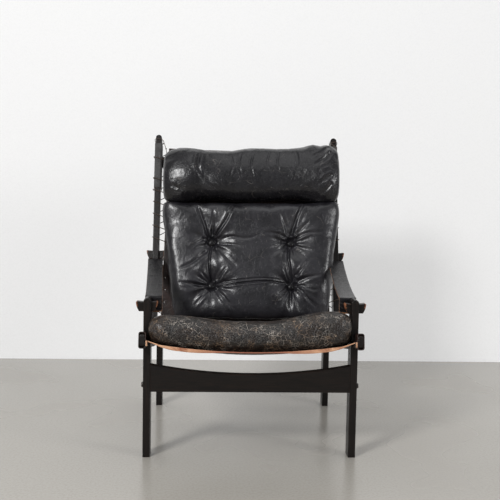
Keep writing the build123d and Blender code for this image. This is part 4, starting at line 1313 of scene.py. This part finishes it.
@dataclass
class SeatSling:
    """The seat's leather: a sagging sheet sewn into a sleeve round each rail, with a turned front hem.

    Args:
        front: front edge, down the slope.
        rear: the sheet's rear edge.
        sleeve_rear: the sleeves' rear ends.
        thick: thickness of the leather.
        sag: how far the middle hangs down.
        shoulder: where the sheet leaves the rail's level (across, height).
        ring_x: inner and outer side of a sleeve.
        ring_n: half the height of a sleeve.
        leg_room: where the notch for a front leg ends (across, to the rear).
        sheet_half: half the sheet's width behind the sleeves.
        loose_half: half the width that ripples.
        layers: the two layers of a seam flap, across.
    """

    front: float = -47.3
    rear: float = 470.0
    sleeve_rear: float = 372.0
    thick: float = 2.5
    sag: float = 33.0
    shoulder: tuple[float, float] = (269.2, -14.0)
    ring_x: tuple[float, float] = (312.45, 331.55)
    ring_n: float = 23.55
    leg_room: tuple[float, float] = (299.0, 51.5)
    sheet_half: float = 301.0
    loose_half: float = 290.0
    layers: tuple[float, float] = (307.8, 310.4)

    def section(self) -> np.ndarray:
        """Return the sling's middle line (across, height) from its middle to the end of a sleeve.

        Returns:
            Points of the line.
        """
        x, n = self.shoulder
        drop = self.sag + n
        radius = (x * x + drop * drop) / (2 * drop)
        rise = -self.sag - self.thick / 2
        arc = [(a, radius - math.sqrt(radius * radius - a * a) + rise) for a in np.linspace(0, x, 40)]
        inner, outer = self.ring_x
        top = self.ring_n
        loop = [(inner - 0.6, -1.2), (inner, 6.0), (inner, top), (outer, top), (outer, -top), (inner, -top),
                (inner, -2.0)]
        return bent_line([*arc, *loop], 6.0, 4.0)

    def build(self) -> None:
        """Make the sling with its flaps and hem."""
        half = self.section()
        line = np.vstack([half[:0:-1] * (-1, 1), half])
        rows = np.linspace(self.front, self.rear, 105)
        grid = np.array([[(x, s, n) for x, n in line] for s in rows])
        flat = grid.reshape(-1, 3)
        flat[:, 2] += 0.5 * cloud(flat, 60.0) * (np.abs(flat[:, 0]) < self.loose_half)
        placed = SEAT.place(flat)
        setback = CHAIR.own(placed)[:, 1].reshape(grid.shape[:2])
        x, y, s = cell_means(np.abs(grid[:, :, 0])), cell_means(setback), cell_means(grid[:, :, 1])
        keep = ~((x > self.leg_room[0]) & (y > -1.5) & (y < self.leg_room[1]))
        keep &= ~((x > self.sheet_half) & (s > self.sleeve_rear))
        body = sheet_object("sling_body", placed.reshape(grid.shape), self.thick, keep)
        paint(body, 0)
        parts = [body, self._hem(), *self._flaps()]
        obj = join("seat_sling_leather", parts)
        area = sheet_area(obj, self.thick)
        SLING_LEATHER.dress(obj, cut=HEM_LEATHER)
        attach(obj, "frame")
        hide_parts("seat_sling")

    def _hem(self) -> bpy.types.Object:
        """Return the turned front edge, its flesh side out.

        Returns:
            The hem.
        """
        half = [p for p in self.section() if p[0] < 307.0 and p[1] < 2.0]
        line = np.array([*([-x, n] for x, n in half[:0:-1]), *half])
        across = np.abs(line[:, 0])
        deep = 3.5 + 7.5 * smooth_step(across, 50.0, 190.0) - 8.0 * smooth_step(across, 225.0, 300.0)
        grid = np.array([[(x, self.front + 1.0, n + 1.6 - d * t) for t in (0, 0.33, 0.67, 1)]
                         for (x, n), d in zip(line, deep)])
        flat = grid.reshape(-1, 3)
        flat[:, 2] += 0.5 * cloud(flat * (1, 0, 0), 22.0, 4.0)
        obj = sheet_object("sling_hem", SEAT.place(flat).reshape(grid.shape), 3.0, rounding=1.2)
        paint(obj, 1)
        return obj

    def _flaps(self) -> list[bpy.types.Object]:
        """Return the sewn flaps that close the sleeves.

        Returns:
            Two layers before and behind each front leg.
        """
        parts = []
        for side, _ in SIDES:
            for layer in self.layers:
                for low, high in ((self.front - 0.2, LEG_FRONT), (LEG_REAR, self.sleeve_rear)):
                    rows = np.linspace(low, high, max(4, int((high - low) / 6)))
                    falls = np.linspace(-1.0, -17.0, 5)
                    grid = np.array([[(side * layer, s, n) for n in falls] for s in rows])
                    parts.append(sheet_object("flap", SEAT.place(grid), 2.2))
        return parts


@dataclass
class BackSling:
    """The back's leather, laced to the posts through holes along both edges.

    Args:
        bottom: lower edge, up the posts.
        top: upper edge.
        half_bottom: half the width at the lower edge.
        half_top: half the width at the upper edge.
        edge: depth of both side edges.
        bow: how far the middle lies behind them.
        thick: thickness of the leather.
        inset: distance of the holes from the side edges.
        holes: places of the holes.
    """

    bottom: float = 58.0
    top: float = 694.0
    half_bottom: float = 298.0
    half_top: float = 284.0
    edge: float = -18.0
    bow: float = 17.0
    thick: float = 2.5
    inset: float = 9.0
    holes: tuple[float, ...] = (685, 641, 606, 562, 518, 474, 430, 386, 342, 216, 172, 128, 84)

    def half_at(self, up: float) -> float:
        """Return half the sling's width at a place along the posts."""
        share = (up - self.bottom) / (self.top - self.bottom)
        return self.half_bottom + share * (self.half_top - self.half_bottom)

    def depth_at(self, x: float | np.ndarray) -> float | np.ndarray:
        """Return the depth of the middle of the leather."""
        radius = (self.half_bottom**2 + self.bow**2) / (2 * self.bow)
        return self.edge + self.bow - radius + np.sqrt(radius * radius - x * x) - self.thick / 2

    def build(self) -> None:
        """Make the sling."""
        ups = np.linspace(self.bottom, self.top, 114)
        shares = np.linspace(-1, 1, 101)
        grid = np.array([[(s * self.half_at(u), self.depth_at(s * self.half_at(u)), u) for s in shares]
                         for u in ups])
        flat = grid.reshape(-1, 3)
        pull = np.zeros(len(flat))
        for up in self.holes:
            pull += np.exp(-(((flat[:, 2] - up) / 9.0) ** 2))
        edge = smooth_step(np.abs(flat[:, 0]) / self.half_top, 0.86, 1.0)
        flat[:, 1] += 0.7 * cloud(flat, 80.0, 2.0) + 0.8 * (pull - 0.35) * edge
        obj = sheet_object("back_sling_leather", BACK.place(flat).reshape(grid.shape), self.thick)
        area = sheet_area(obj, self.thick)
        SLING_LEATHER.dress(obj, cut=CUT_EDGE)
        self._punch(obj)
        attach(obj, "back")
        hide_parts("back_sling")

    def _punch(self, obj: bpy.types.Object) -> None:
        """Cut the lacing holes.

        Args:
            obj: the leather.
        """
        points, faces = [], []
        for side, _ in SIDES:
            for up in self.holes:
                x = side * (self.half_at(up) - self.inset)
                turned, polygons = lathe([(2.3, -8.0), (2.3, 8.0)], 20)
                faces += [[i + len(points) for i in p] for p in polygons]
                points += [(x + p[0], self.depth_at(x) + p[2], up + p[1]) for p in turned]
        tool = mesh_object("punch", BACK.place(np.array(points)), faces)
        tool.data.flip_normals()
        cut = obj.modifiers.new("punch", "BOOLEAN")
        cut.operation = "DIFFERENCE"
        cut.object = tool
        cut.solver = "EXACT"
        settle(obj)
        bpy.data.objects.remove(tool)


@dataclass
class PostSleeve:
    """A leather sleeve drawn round the upper part of a back post, slit for the upper rail.

    Args:
        side: 1 on the right, -1 on the left.
        word: the side's name.
        inner: inner side of the leather's middle.
        outer: outer side.
        half: half its depth.
        bottom: lower edge, up the post.
        top: upper edge.
        thick: thickness of the leather.
        slit: lower and upper end of the slit.
        step: spacing of the points round the post.
    """

    side: int
    word: str
    inner: float = 309.2
    outer: float = 333.8
    half: float = 23.3
    bottom: float = 545.0
    top: float = 712.0
    thick: float = 2.0
    slit: tuple[float, float] = (628.0, 670.0)
    step: float = 2.2

    def build(self) -> None:
        """Make the sleeve."""
        seam = (POST_MIDDLE, -self.half)
        corners = [(self.outer, -self.half), (self.outer, self.half), (self.inner, self.half),
                   (self.inner, -self.half)]
        loop = bent_line([seam, *corners, seam], 5.0, self.step)[:-1]
        ups = np.linspace(self.bottom, self.top, 60)
        grid = np.array([[(self.side * x, v, u) for x, v in loop] for u in ups])
        flat = grid.reshape(-1, 3)
        out = np.array([(x - POST_MIDDLE, v) for x, v in loop] * len(ups))
        out /= np.linalg.norm(out, axis=1, keepdims=True)
        swell = 0.35 * cloud(flat, 12.0, 1.0) + 0.25
        flat[:, 0] += self.side * out[:, 0] * swell
        flat[:, 1] += out[:, 1] * swell
        x = np.abs(grid[:, :, 0])
        u, v = grid[:, :, 2], grid[:, :, 1]
        slit = (x < POST_MIDDLE - 0.5) & (v > 3.0) & (u > self.slit[0]) & (u < self.slit[1])
        keep = ~(slit[:-1] | slit[1:])
        placed = BACK.place(flat).reshape(grid.shape)
        obj = sheet_object(f"post_sleeve_leather_{self.word}", placed, self.thick, keep, closed=True)
        if self.side > 0:
            obj.data.flip_normals()
        SLEEVE_LEATHER.dress(obj, cut=CUT_EDGE)
        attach(obj, "back")
        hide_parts(f"post_sleeve_{self.word}")
        sheet_area(obj, self.thick)
        log.info("post_sleeve_leather_%s", self.word)


@dataclass
class ArmStrap:
    """An arm's flat strap, slung between the pegs and split round the back post.

    Args:
        side: 1 on the right, -1 on the left.
        word: the side's name.
        wide: width of the leather.
        thick: its thickness.
        front_middle: its middle at the front leg, across.
        rear_middle: its middle at the back post.
        sag: how far it hangs between the two.
        wall: its middle surface behind the front leg.
        tail: lower end of its front tail.
        top: its height over the front peg.
        post_slot: inner and outer side of the split round the post.
        leg_cut: where the cut for the front leg ends (across, to the rear, height).
    """

    side: int
    word: str
    wide: float = 52.0
    thick: float = 4.0
    front_middle: float = 296.0
    rear_middle: float = 320.5
    sag: float = 14.0
    wall: float = 52.4
    tail: float = 438.6
    top: float = 481.0
    post_slot: tuple[float, float] = (309.3, 333.7)
    leg_cut: tuple[float, float, float] = (299.3, 50.8, 483.0)

    def build(self) -> None:
        """Make the strap."""
        span_start = np.array([self.wall + 9.0, self.top])
        entry, corner, end = (self._in_back(v, u) for v, u in ((-30.5, 278.6), (15.4, 282.6), (15.4, 315.0)))
        front = [(self.wall - 22.0, self.tail), (self.wall, self.tail), (self.wall, self.top),
                 tuple(span_start)]
        run = entry - span_start
        shares = np.linspace(0, 1, 13)[1:-1]
        span = [span_start + t * run - (0, 4 * self.sag * t * (1 - t)) for t in shares]
        line = bent_line([*front, *span, entry, corner, end], 4.5, 2.0)
        share = np.clip((line[:, 0] - span_start[0]) / run[0], 0, 1)
        share[: np.argmax(line[:, 1] >= self.top - 1)] = 0
        middle = self.front_middle + share * (self.rear_middle - self.front_middle)
        tangent = np.gradient(line, axis=0)
        normal = np.stack([-tangent[:, 1], tangent[:, 0]], axis=1)
        normal /= np.linalg.norm(normal, axis=1, keepdims=True)
        offsets = np.linspace(-self.wide / 2, self.wide / 2, 27)
        cup = 1.1 * (2 * offsets / self.wide) ** 2
        places = list(zip(offsets, cup))
        grid = np.array([[(self.side * (m + o), p[0] + n[0] * c, p[1] + n[1] * c) for o, c in places]
                         for p, n, m in zip(line, normal, middle)])
        wave = 0.5 * cloud(grid.reshape(-1, 3), 30.0, self.side).reshape(grid.shape[:2])
        grid[:, :, 1] += wave * normal[:, :1]
        grid[:, :, 2] += wave * normal[:, 1:]
        x = np.abs(grid[:, :, 0])
        inside_back = BACK.own(CHAIR.place(grid.reshape(-1, 3))).reshape(grid.shape)
        slot = (x > self.post_slot[0]) & (x < self.post_slot[1]) & (inside_back[:, :, 1] > -23.2)
        leg = (x > self.leg_cut[0]) & (grid[:, :, 1] < self.leg_cut[1]) & (grid[:, :, 2] < self.leg_cut[2])
        keep = cell_means((slot | leg).astype(float)) == 0
        name = f"arm_strap_leather_{self.word}"
        obj = sheet_object(name, CHAIR.place(grid), self.thick, keep, rounding=0.9)
        STRAP_LEATHER.dress(obj, cut=CUT_EDGE)
        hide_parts(f"arm_strap_{self.word}")
        ends = CHAIR.place(np.array([(self.side * 308.0, *span_start), (self.side * 308.0, *entry)]))
        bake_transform(obj)
        log.info("%s: %.0f mm long", name, float(np.linalg.norm(tangent, axis=1).sum()))

    @staticmethod
    def _in_back(depth: float, up: float) -> np.ndarray:
        """Return a back frame point as (setback, height)."""
        return CHAIR.own(BACK.place(np.array([[0, depth, up]])))[0, 1:]


# Cords


def cord_object(name: str, route: np.ndarray, radius: float) -> bpy.types.Object:
    """Make a round cord along a NURBS spline.

    Args:
        name: the curve's name.
        route: the spline's control points in row frame metres.
        radius: radius in millimetres.

    Returns:
        The curve object.
    """
    curve = bpy.data.curves.new(name, "CURVE")
    curve.dimensions = "3D"
    spline = curve.splines.new("NURBS")
    spline.points.add(len(route) - 1)
    for point, place in zip(spline.points, route):
        point.co = (*place, 1)
    spline.order_u = 3
    spline.use_endpoint_u = True
    curve.resolution_u = 8
    curve.bevel_depth = radius * MM
    curve.bevel_resolution = 3
    curve.use_fill_caps = True
    return link(name, curve)


def knot_points(middle: np.ndarray, size: float) -> np.ndarray:
    """Return the closed line of an overhand knot round a point, of about this size in millimetres.

    Args:
        middle: the point.
        size: the knot's size.

    Returns:
        Points of the line.
    """
    turn = np.linspace(0, 2 * math.pi, 25)
    line = np.stack([np.sin(turn) + 2 * np.sin(2 * turn), np.cos(turn) - 2 * np.cos(2 * turn),
                     -1.4 * np.sin(3 * turn)], axis=1)
    return middle + line * size / 3


@dataclass
class Lacing:
    """One lacing of the back sling, wound round a post and through the sling's edge.

    Args:
        side: 1 on the right, -1 on the left.
        name: the piece's name.
        top: place of its upper hole.
        turns: how often it goes round the post.
        sling: the leather that it holds.
        pitch: distance from one turn's hole to the next.
        radius: the cord's radius.
        stand: how far its middle stands off the wood.
        over_sleeve: how much further it stands off on the post's sleeve.
        sleeve_from: place above which turns lie on the sleeve.
    """

    side: int
    name: str
    top: float
    turns: int
    sling: BackSling
    pitch: float = 44.0
    radius: float = 1.5
    stand: float = 3.0
    over_sleeve: float = 2.3
    sleeve_from: float = 523.0

    def build(self) -> None:
        """Make the cord with a knot at both ends."""
        route = []
        for turn in range(self.turns + 1):
            up = self.top - turn * self.pitch
            x = self.sling.half_at(up) - self.sling.inset
            depth = self.sling.depth_at(x)
            route += [(x, depth - 3.4, up), (x, depth + 3.4, up)]
            if turn < self.turns:
                stand = self.stand + (self.over_sleeve if up > self.sleeve_from else 0.0)
                low, high, edge = POST_INNER - stand, POST_OUTER + stand, POST_HALF_DEPTH + stand
                corners = ((low, edge), (POST_MIDDLE, edge + 0.4), (high, edge), (high + 0.4, 0),
                           (high, -edge), (POST_MIDDLE, -edge - 0.4), (low, -edge))
                route += [(cx, cv, up - self.pitch * (k + 1.2) / 9) for k, (cx, cv) in enumerate(corners)]
        points = np.array(route) * (self.side, 1, 1)
        parts = [cord_object(self.name + "_cord", BACK.place(points), self.radius)]
        for end, step in ((points[0], -2.2), (points[-1], 2.2)):
            knot = BACK.place(knot_points(end + (0, step, 0), 2.2))
            parts.append(cord_object(self.name + "_knot", knot, self.radius * 0.8))
        obj = as_mesh(self.name + "_cord", parts)
        CORD.dress(obj)
        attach(obj, "back")
        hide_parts(self.name)
        log.info("%s: %d turns", self.name, self.turns)


def as_mesh(name: str, curves: Sequence[bpy.types.Object]) -> bpy.types.Object:
    """Turn curve objects into one mesh object.

    Args:
        name: the new object's name.
        curves: the curves, which go.

    Returns:
        The mesh object.
    """
    graph = bpy.context.evaluated_depsgraph_get()
    points, faces, start = [], [], 0
    for curve in curves:
        mesh = bpy.data.meshes.new_from_object(curve.evaluated_get(graph))
        points.append(get_points(mesh))
        faces += [[start + i for i in polygon.vertices] for polygon in mesh.polygons]
        start += len(mesh.vertices)
    for curve in curves:
        bpy.data.objects.remove(curve)
    return mesh_object(name, np.concatenate(points), faces)


@dataclass
class HeadTie:
    """A thin cord from a post's top to the end of the head roll.

    Args:
        side: 1 on the right, -1 on the left.
        word: the side's name.
        radius: the cord's radius.
        stand: how far its middle stands off the wood.
        up: place of its first turn, up the post.
    """

    side: int
    word: str
    radius: float = 1.1
    stand: float = 2.9
    up: float = 722.0

    def build(self) -> None:
        """Make the tie with its knots."""
        low, high, edge = POST_INNER - self.stand, POST_OUTER + self.stand, POST_HALF_DEPTH + self.stand
        up = self.up
        end = 15.0 * self.side + 321.0
        route = np.array([(low - 0.8, 11.0, up), (low, edge, up + 1.0), (POST_MIDDLE, edge + 0.4, up + 2.0),
                          (high, edge, up + 3.0), (high + 0.4, 0, up + 4.5), (high, -edge, up + 6.0),
                          (POST_MIDDLE, -edge - 1.0, up + 6.0), (low - 3.0, -edge - 8.0, up),
                          (end - 7.0, -52.0, up - 23.0), (end - 15.0, -66.0, up - 46.0),
                          (end - 18.0, -78.0, up - 70.0)])
        route *= (self.side, 1, 1)
        name = f"head_tie_{self.word}"
        parts = [cord_object(name + "_cord", BACK.place(route), self.radius)]
        for spot in (route[0], route[-2]):
            parts.append(cord_object(name + "_knot", BACK.place(knot_points(spot, 2.0)), self.radius))
        obj = as_mesh(name + "_cord", parts)
        CORD.dress(obj)
        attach(obj, "back")
        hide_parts(name)
        log.info("%s", name)


# Frame


class Woodwork:
    """The CAD model's wooden and steel pieces, which are shown as they are."""

    woods: dict[Finish, tuple[str, ...]] = {
        LEG_WOOD: ("front_leg_*", "rear_leg_*", "back_post_*"),
        RAIL_WOOD: ("seat_rail_*",),
        CROSS_WOOD: ("front_stretcher", "rear_stretcher", "upper_back_rail", "lower_back_rail",
                     "stretcher_dowels", "back_dowels"),
        PEG_WOOD: ("front_arm_peg_*", "rear_arm_peg_*"),
    }
    steels: tuple[str, ...] = ("pivot_bolt_*", "pivot_nut_*", "stretcher_bolts", "stretcher_washers",
                               "barrel_nuts", "rail_bolts", "rail_nuts", "rail_washers",
                               "strap_leg_screws", "strap_peg_screws")

    def dress(self) -> None:
        """Give every shown CAD piece its finish."""
        for finish, names in {**self.woods, STEEL: self.steels}.items():
            for name in names:
                for node in self._named(name):
                    finish.dress(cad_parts[node])
                    log.info("%s: %s", node, finish.name)

    @staticmethod
    def _named(name: str) -> list[str]:
        """Return the node of this name, or both of its sides."""
        return [name.replace("*", word) for _, word in SIDES] if "*" in name else [name]


# Studio


@dataclass
class Studio:
    """Floor, wall, lights and camera.

    Args:
        eye: the camera's place in metres.
        heading: its turn to the right in degrees.
        dip: its tilt down in degrees.
        roll: its roll in degrees.
        lens: its focal length in millimetres.
        wall_setback: the wall's distance to the rear in metres.
    """

    eye: tuple[float, float, float] = (-0.121, -2.673, 0.81)
    heading: float = 2.7
    dip: float = 4.33
    roll: float = 1.0
    lens: float = 57.9
    wall_setback: float = 1.09

    def build(self) -> None:
        """Make the studio."""
        self._ground()
        self._camera()
        self._light("key softbox", (-2.25, -3.05, 2.5), (0, 0.1, 0.55), 0.85, 120)
        self._light("top softbox", (0.4, -0.9, 3.5), (0, 0.1, 0.4), 2.2, 16)
        self._light("side fill", (3.2, -2.2, 1.5), (0, 0.1, 0.4), 1.0, 44)
        world = bpy.data.worlds.new("studio air")
        world.use_nodes = True
        world.node_tree.nodes["Background"].inputs["Color"].default_value = srgb("#f2f4f7")
        world.node_tree.nodes["Background"].inputs["Strength"].default_value = 0.27
        bpy.context.scene.world = world
        bpy.context.scene.view_settings.view_transform = "Standard"
        log.info("studio ready")

    def _ground(self) -> None:
        """Make the floor and the wall behind it."""
        wide, front, high, y = 6.0, -5.0, 5.0, self.wall_setback
        flat = [(-wide, front, 0), (wide, front, 0), (wide, y, 0), (-wide, y, 0)]
        upright = [(-wide, y, 0), (wide, y, 0), (wide, y, high), (-wide, y, high)]
        floor, wall = (mesh_object(name, np.array(corners), [[0, 1, 2, 3]])
                       for name, corners in (("floor", flat), ("wall", upright)))
        terrazzo = Ground("polished pale terrazzo", "", tone="#aeaaa2", fleck="#a49f98", rough=0.24)
        # The wall glows by itself: a painted glow that keeps the backdrop bright and lights the chair from
        # behind.
        plaster = Ground("matt white plaster, self-lit", "", tone="#cacaca", fleck="#c7c7c7", rough=0.8, glow=0.62)
        floor.data.materials.append(terrazzo.build())
        wall.data.materials.append(plaster.build())

    def _camera(self) -> None:
        """Set the camera where the photograph was taken from."""
        camera = bpy.data.cameras.new("camera")
        camera.lens = self.lens
        camera.sensor_width = 36
        obj = link("camera", camera)
        heading, dip = math.radians(self.heading), math.radians(self.dip)
        way = Vector((math.sin(heading) * math.cos(dip), math.cos(heading) * math.cos(dip), -math.sin(dip)))
        obj.location = self.eye
        obj.rotation_mode = "QUATERNION"
        roll = Quaternion((0, 0, 1), math.radians(self.roll))
        obj.rotation_quaternion = way.to_track_quat("-Z", "Y") @ roll
        bpy.context.scene.camera = obj

    @staticmethod
    def _light(name: str, place: Sequence[float], aim: Sequence[float], size: float, power: float) -> None:
        """Add one square softbox.

        Args:
            name: the lamp's name.
            place: its place in metres.
            aim: the point that it faces.
            size: length of its sides in metres.
            power: its power in watts.
        """
        data = bpy.data.lights.new(name, "AREA")
        data.size = size
        data.energy = power
        obj = link(name, data)
        obj.location = place
        obj.rotation_mode = "QUATERNION"
        obj.rotation_quaternion = (Vector(aim) - Vector(place)).to_track_quat("-Z", "Y")


# The chair


BUTTON_PLACES = tuple((16.0 + a * 139.0, 255.0 + u * 77.0) for a in (-1, 1) for u in (-1, 1))

BACK_CREASES = (
    Crease(((-134, 349), (-156, 410), (-178, 461)), 6.0, 4.5),
    Crease(((-123, 360), (-120, 400), (-117, 440)), 4.0, 4.0),
    Crease(((-109, 357), (-74, 408), (-50, 448), (-32, 467)), 6.0, 4.5),
    Crease(((-98, 343), (-53, 350), (0, 344), (53, 363)), 3.0, 5.0),
    Crease(((-98, 325), (-53, 322), (-7, 312)), 3.0, 4.5),
    Crease(((-151, 342), (-175, 327), (-199, 305)), 4.0, 4.5),
    Crease(((-143, 299), (-191, 255), (-240, 234)), 3.5, 5.0),
    Crease(((-101, 303), (-66, 271), (-31, 236)), 3.5, 5.0),
    Crease(((-126, 318), (-131, 256), (-127, 221), (-121, 189)), 5.0, 15.0, 0.1, end=1.0),
    Crease(((-126, 318), (-131, 256), (-127, 221), (-121, 189)), 6.5, 3.2, 0.2, end=1.0),
    Crease(((-134, 175), (-180, 182), (-239, 188)), 5.0, 4.5),
    Crease(((-104, 174), (-24, 185), (64, 193), (140, 188)), 4.5, 3.2, 0.3, end=1.0),
    Crease(((-96, 184), (-24, 196), (64, 203), (134, 196)), 2.4, 3.0, 0.3, 0.2, end=0.6),
    Crease(((-138, 157), (-158, 133), (-178, 112)), 4.0, 4.5),
    Crease(((-100, 161), (-72, 130), (-40, 92)), 5.0, 5.0),
    Crease(((-135, 196), (-152, 217), (-167, 235)), 3.5, 4.0),
    Crease(((-100, 200), (-83, 225), (-69, 243)), 3.5, 4.0),
    Crease(((150, 317), (145, 281), (150, 246), (156, 192)), 5.0, 15.0, 0.1, end=1.0),
    Crease(((150, 317), (145, 281), (150, 246), (156, 192)), 6.5, 3.2, 0.2, end=1.0),
    Crease(((144, 178), (116, 153), (88, 132)), 4.0, 4.5),
    Crease(((154, 171), (151, 133), (147, 84)), 4.0, 4.5),
    Crease(((175, 179), (203, 147), (245, 106)), 5.0, 5.0),
    Crease(((179, 200), (218, 211), (267, 222)), 4.0, 5.0),
    Crease(((186, 182), (221, 169), (256, 166)), 3.0, 4.5),
    Crease(((176, 218), (197, 246), (215, 268)), 4.0, 4.5),
    Crease(((156, 364), (174, 419), (192, 452), (206, 475)), 8.0, 5.0),
    Crease(((141, 364), (131, 404), (113, 440)), 4.0, 4.5),
    Crease(((131, 339), (106, 320), (81, 309)), 4.0, 4.5),
    Crease(((131, 353), (102, 364), (53, 366)), 4.0, 5.0),
    Crease(((173, 347), (216, 369), (276, 370)), 4.0, 5.0),
    Crease(((173, 365), (198, 390), (220, 413)), 4.0, 4.5),
)

HEAD_CREASES = (
    Crease(((-176, 648), (-184, 600), (-166, 545)), 6.0, 6.0, 0.5, start=0.2),
    Crease(((-62, 640), (-56, 601), (-66, 561)), 1.6, 3.2, 0.5, start=0.2),
    Crease(((-24, 645), (-32, 606), (-22, 560)), 1.6, 3.2, 0.5, start=0.2),
    Crease(((22, 640), (12, 601), (24, 541)), 1.8, 3.2, 0.5, start=0.2),
    Crease(((84, 652), (72, 608), (84, 566)), 1.5, 3.2, 0.5, start=0.2),
    Crease(((118, 650), (110, 611), (116, 576)), 1.4, 3.2, 0.5, start=0.2),
    Crease(((178, 655), (186, 614), (176, 576)), 1.4, 3.2, 0.5, start=0.2),
    Crease(((300, 664), (268, 640), (232, 618)), 5.0, 6.0),
    Crease(((304, 636), (276, 614), (240, 596)), 4.0, 6.0),
    Crease(((306, 560), (286, 550), (252, 526)), 4.0, 5.0),
    Crease(((304, 531), (290, 516), (262, 498)), 3.5, 5.0),
    Crease(((-276, 526), (-250, 514), (-220, 508)), 3.0, 5.0),
)

SEAT_CREASES = (
    Crease(((-296, 40), (-250, 90), (-190, 120)), 3.0, 7.0),
    Crease(((290, 40), (246, 96), (180, 130)), 3.0, 7.0),
    Crease(((-120, -50), (-100, 20), (-110, 90)), 2.0, 6.0, start=0.3),
    Crease(((80, -50), (96, 30), (70, 100)), 2.0, 6.0, start=0.3),
)


def main() -> None:
    """Build and dress the whole chair, then the studio."""
    sling = BackSling()
    Woodwork().dress()
    SeatSling().build()
    sling.build()
    for side, word in SIDES:
        PostSleeve(side, word).build()
        ArmStrap(side, word).build()
        HeadTie(side, word).build()
        for place, top, turns in (("top", 685.0, 1), ("middle", 606.0, 6), ("bottom", 216.0, 3)):
            Lacing(side, f"back_lacing_{place}_{word}", top, turns, sling).build()
    SeatCushion("seat_cushion_leather", "seat_cushion", "frame", SEAT, (2, 1), SEAT_LEATHER, cap=9.0,
                fill=0.6, creases=SEAT_CREASES).build()
    BackCushion("back_cushion_leather", "back_cushion", "back", BACK, (1, -1), BACK_LEATHER, cap=10.0,
                fill=0.75, ease=6, creases=BACK_CREASES, sling=sling, buttons=BUTTON_PLACES).build()
    HeadCushion("head_cushion_leather", "head_cushion", "back", BACK, (1, -1), SHADED_HEAD_LEATHER, cap=9.0,
                fill=0.8, ease=5, creases=HEAD_CREASES, sling=sling).build()
    Buttons(BUTTON_PLACES).build()
    Studio().build()


if __name__ == "__main__":
    main()
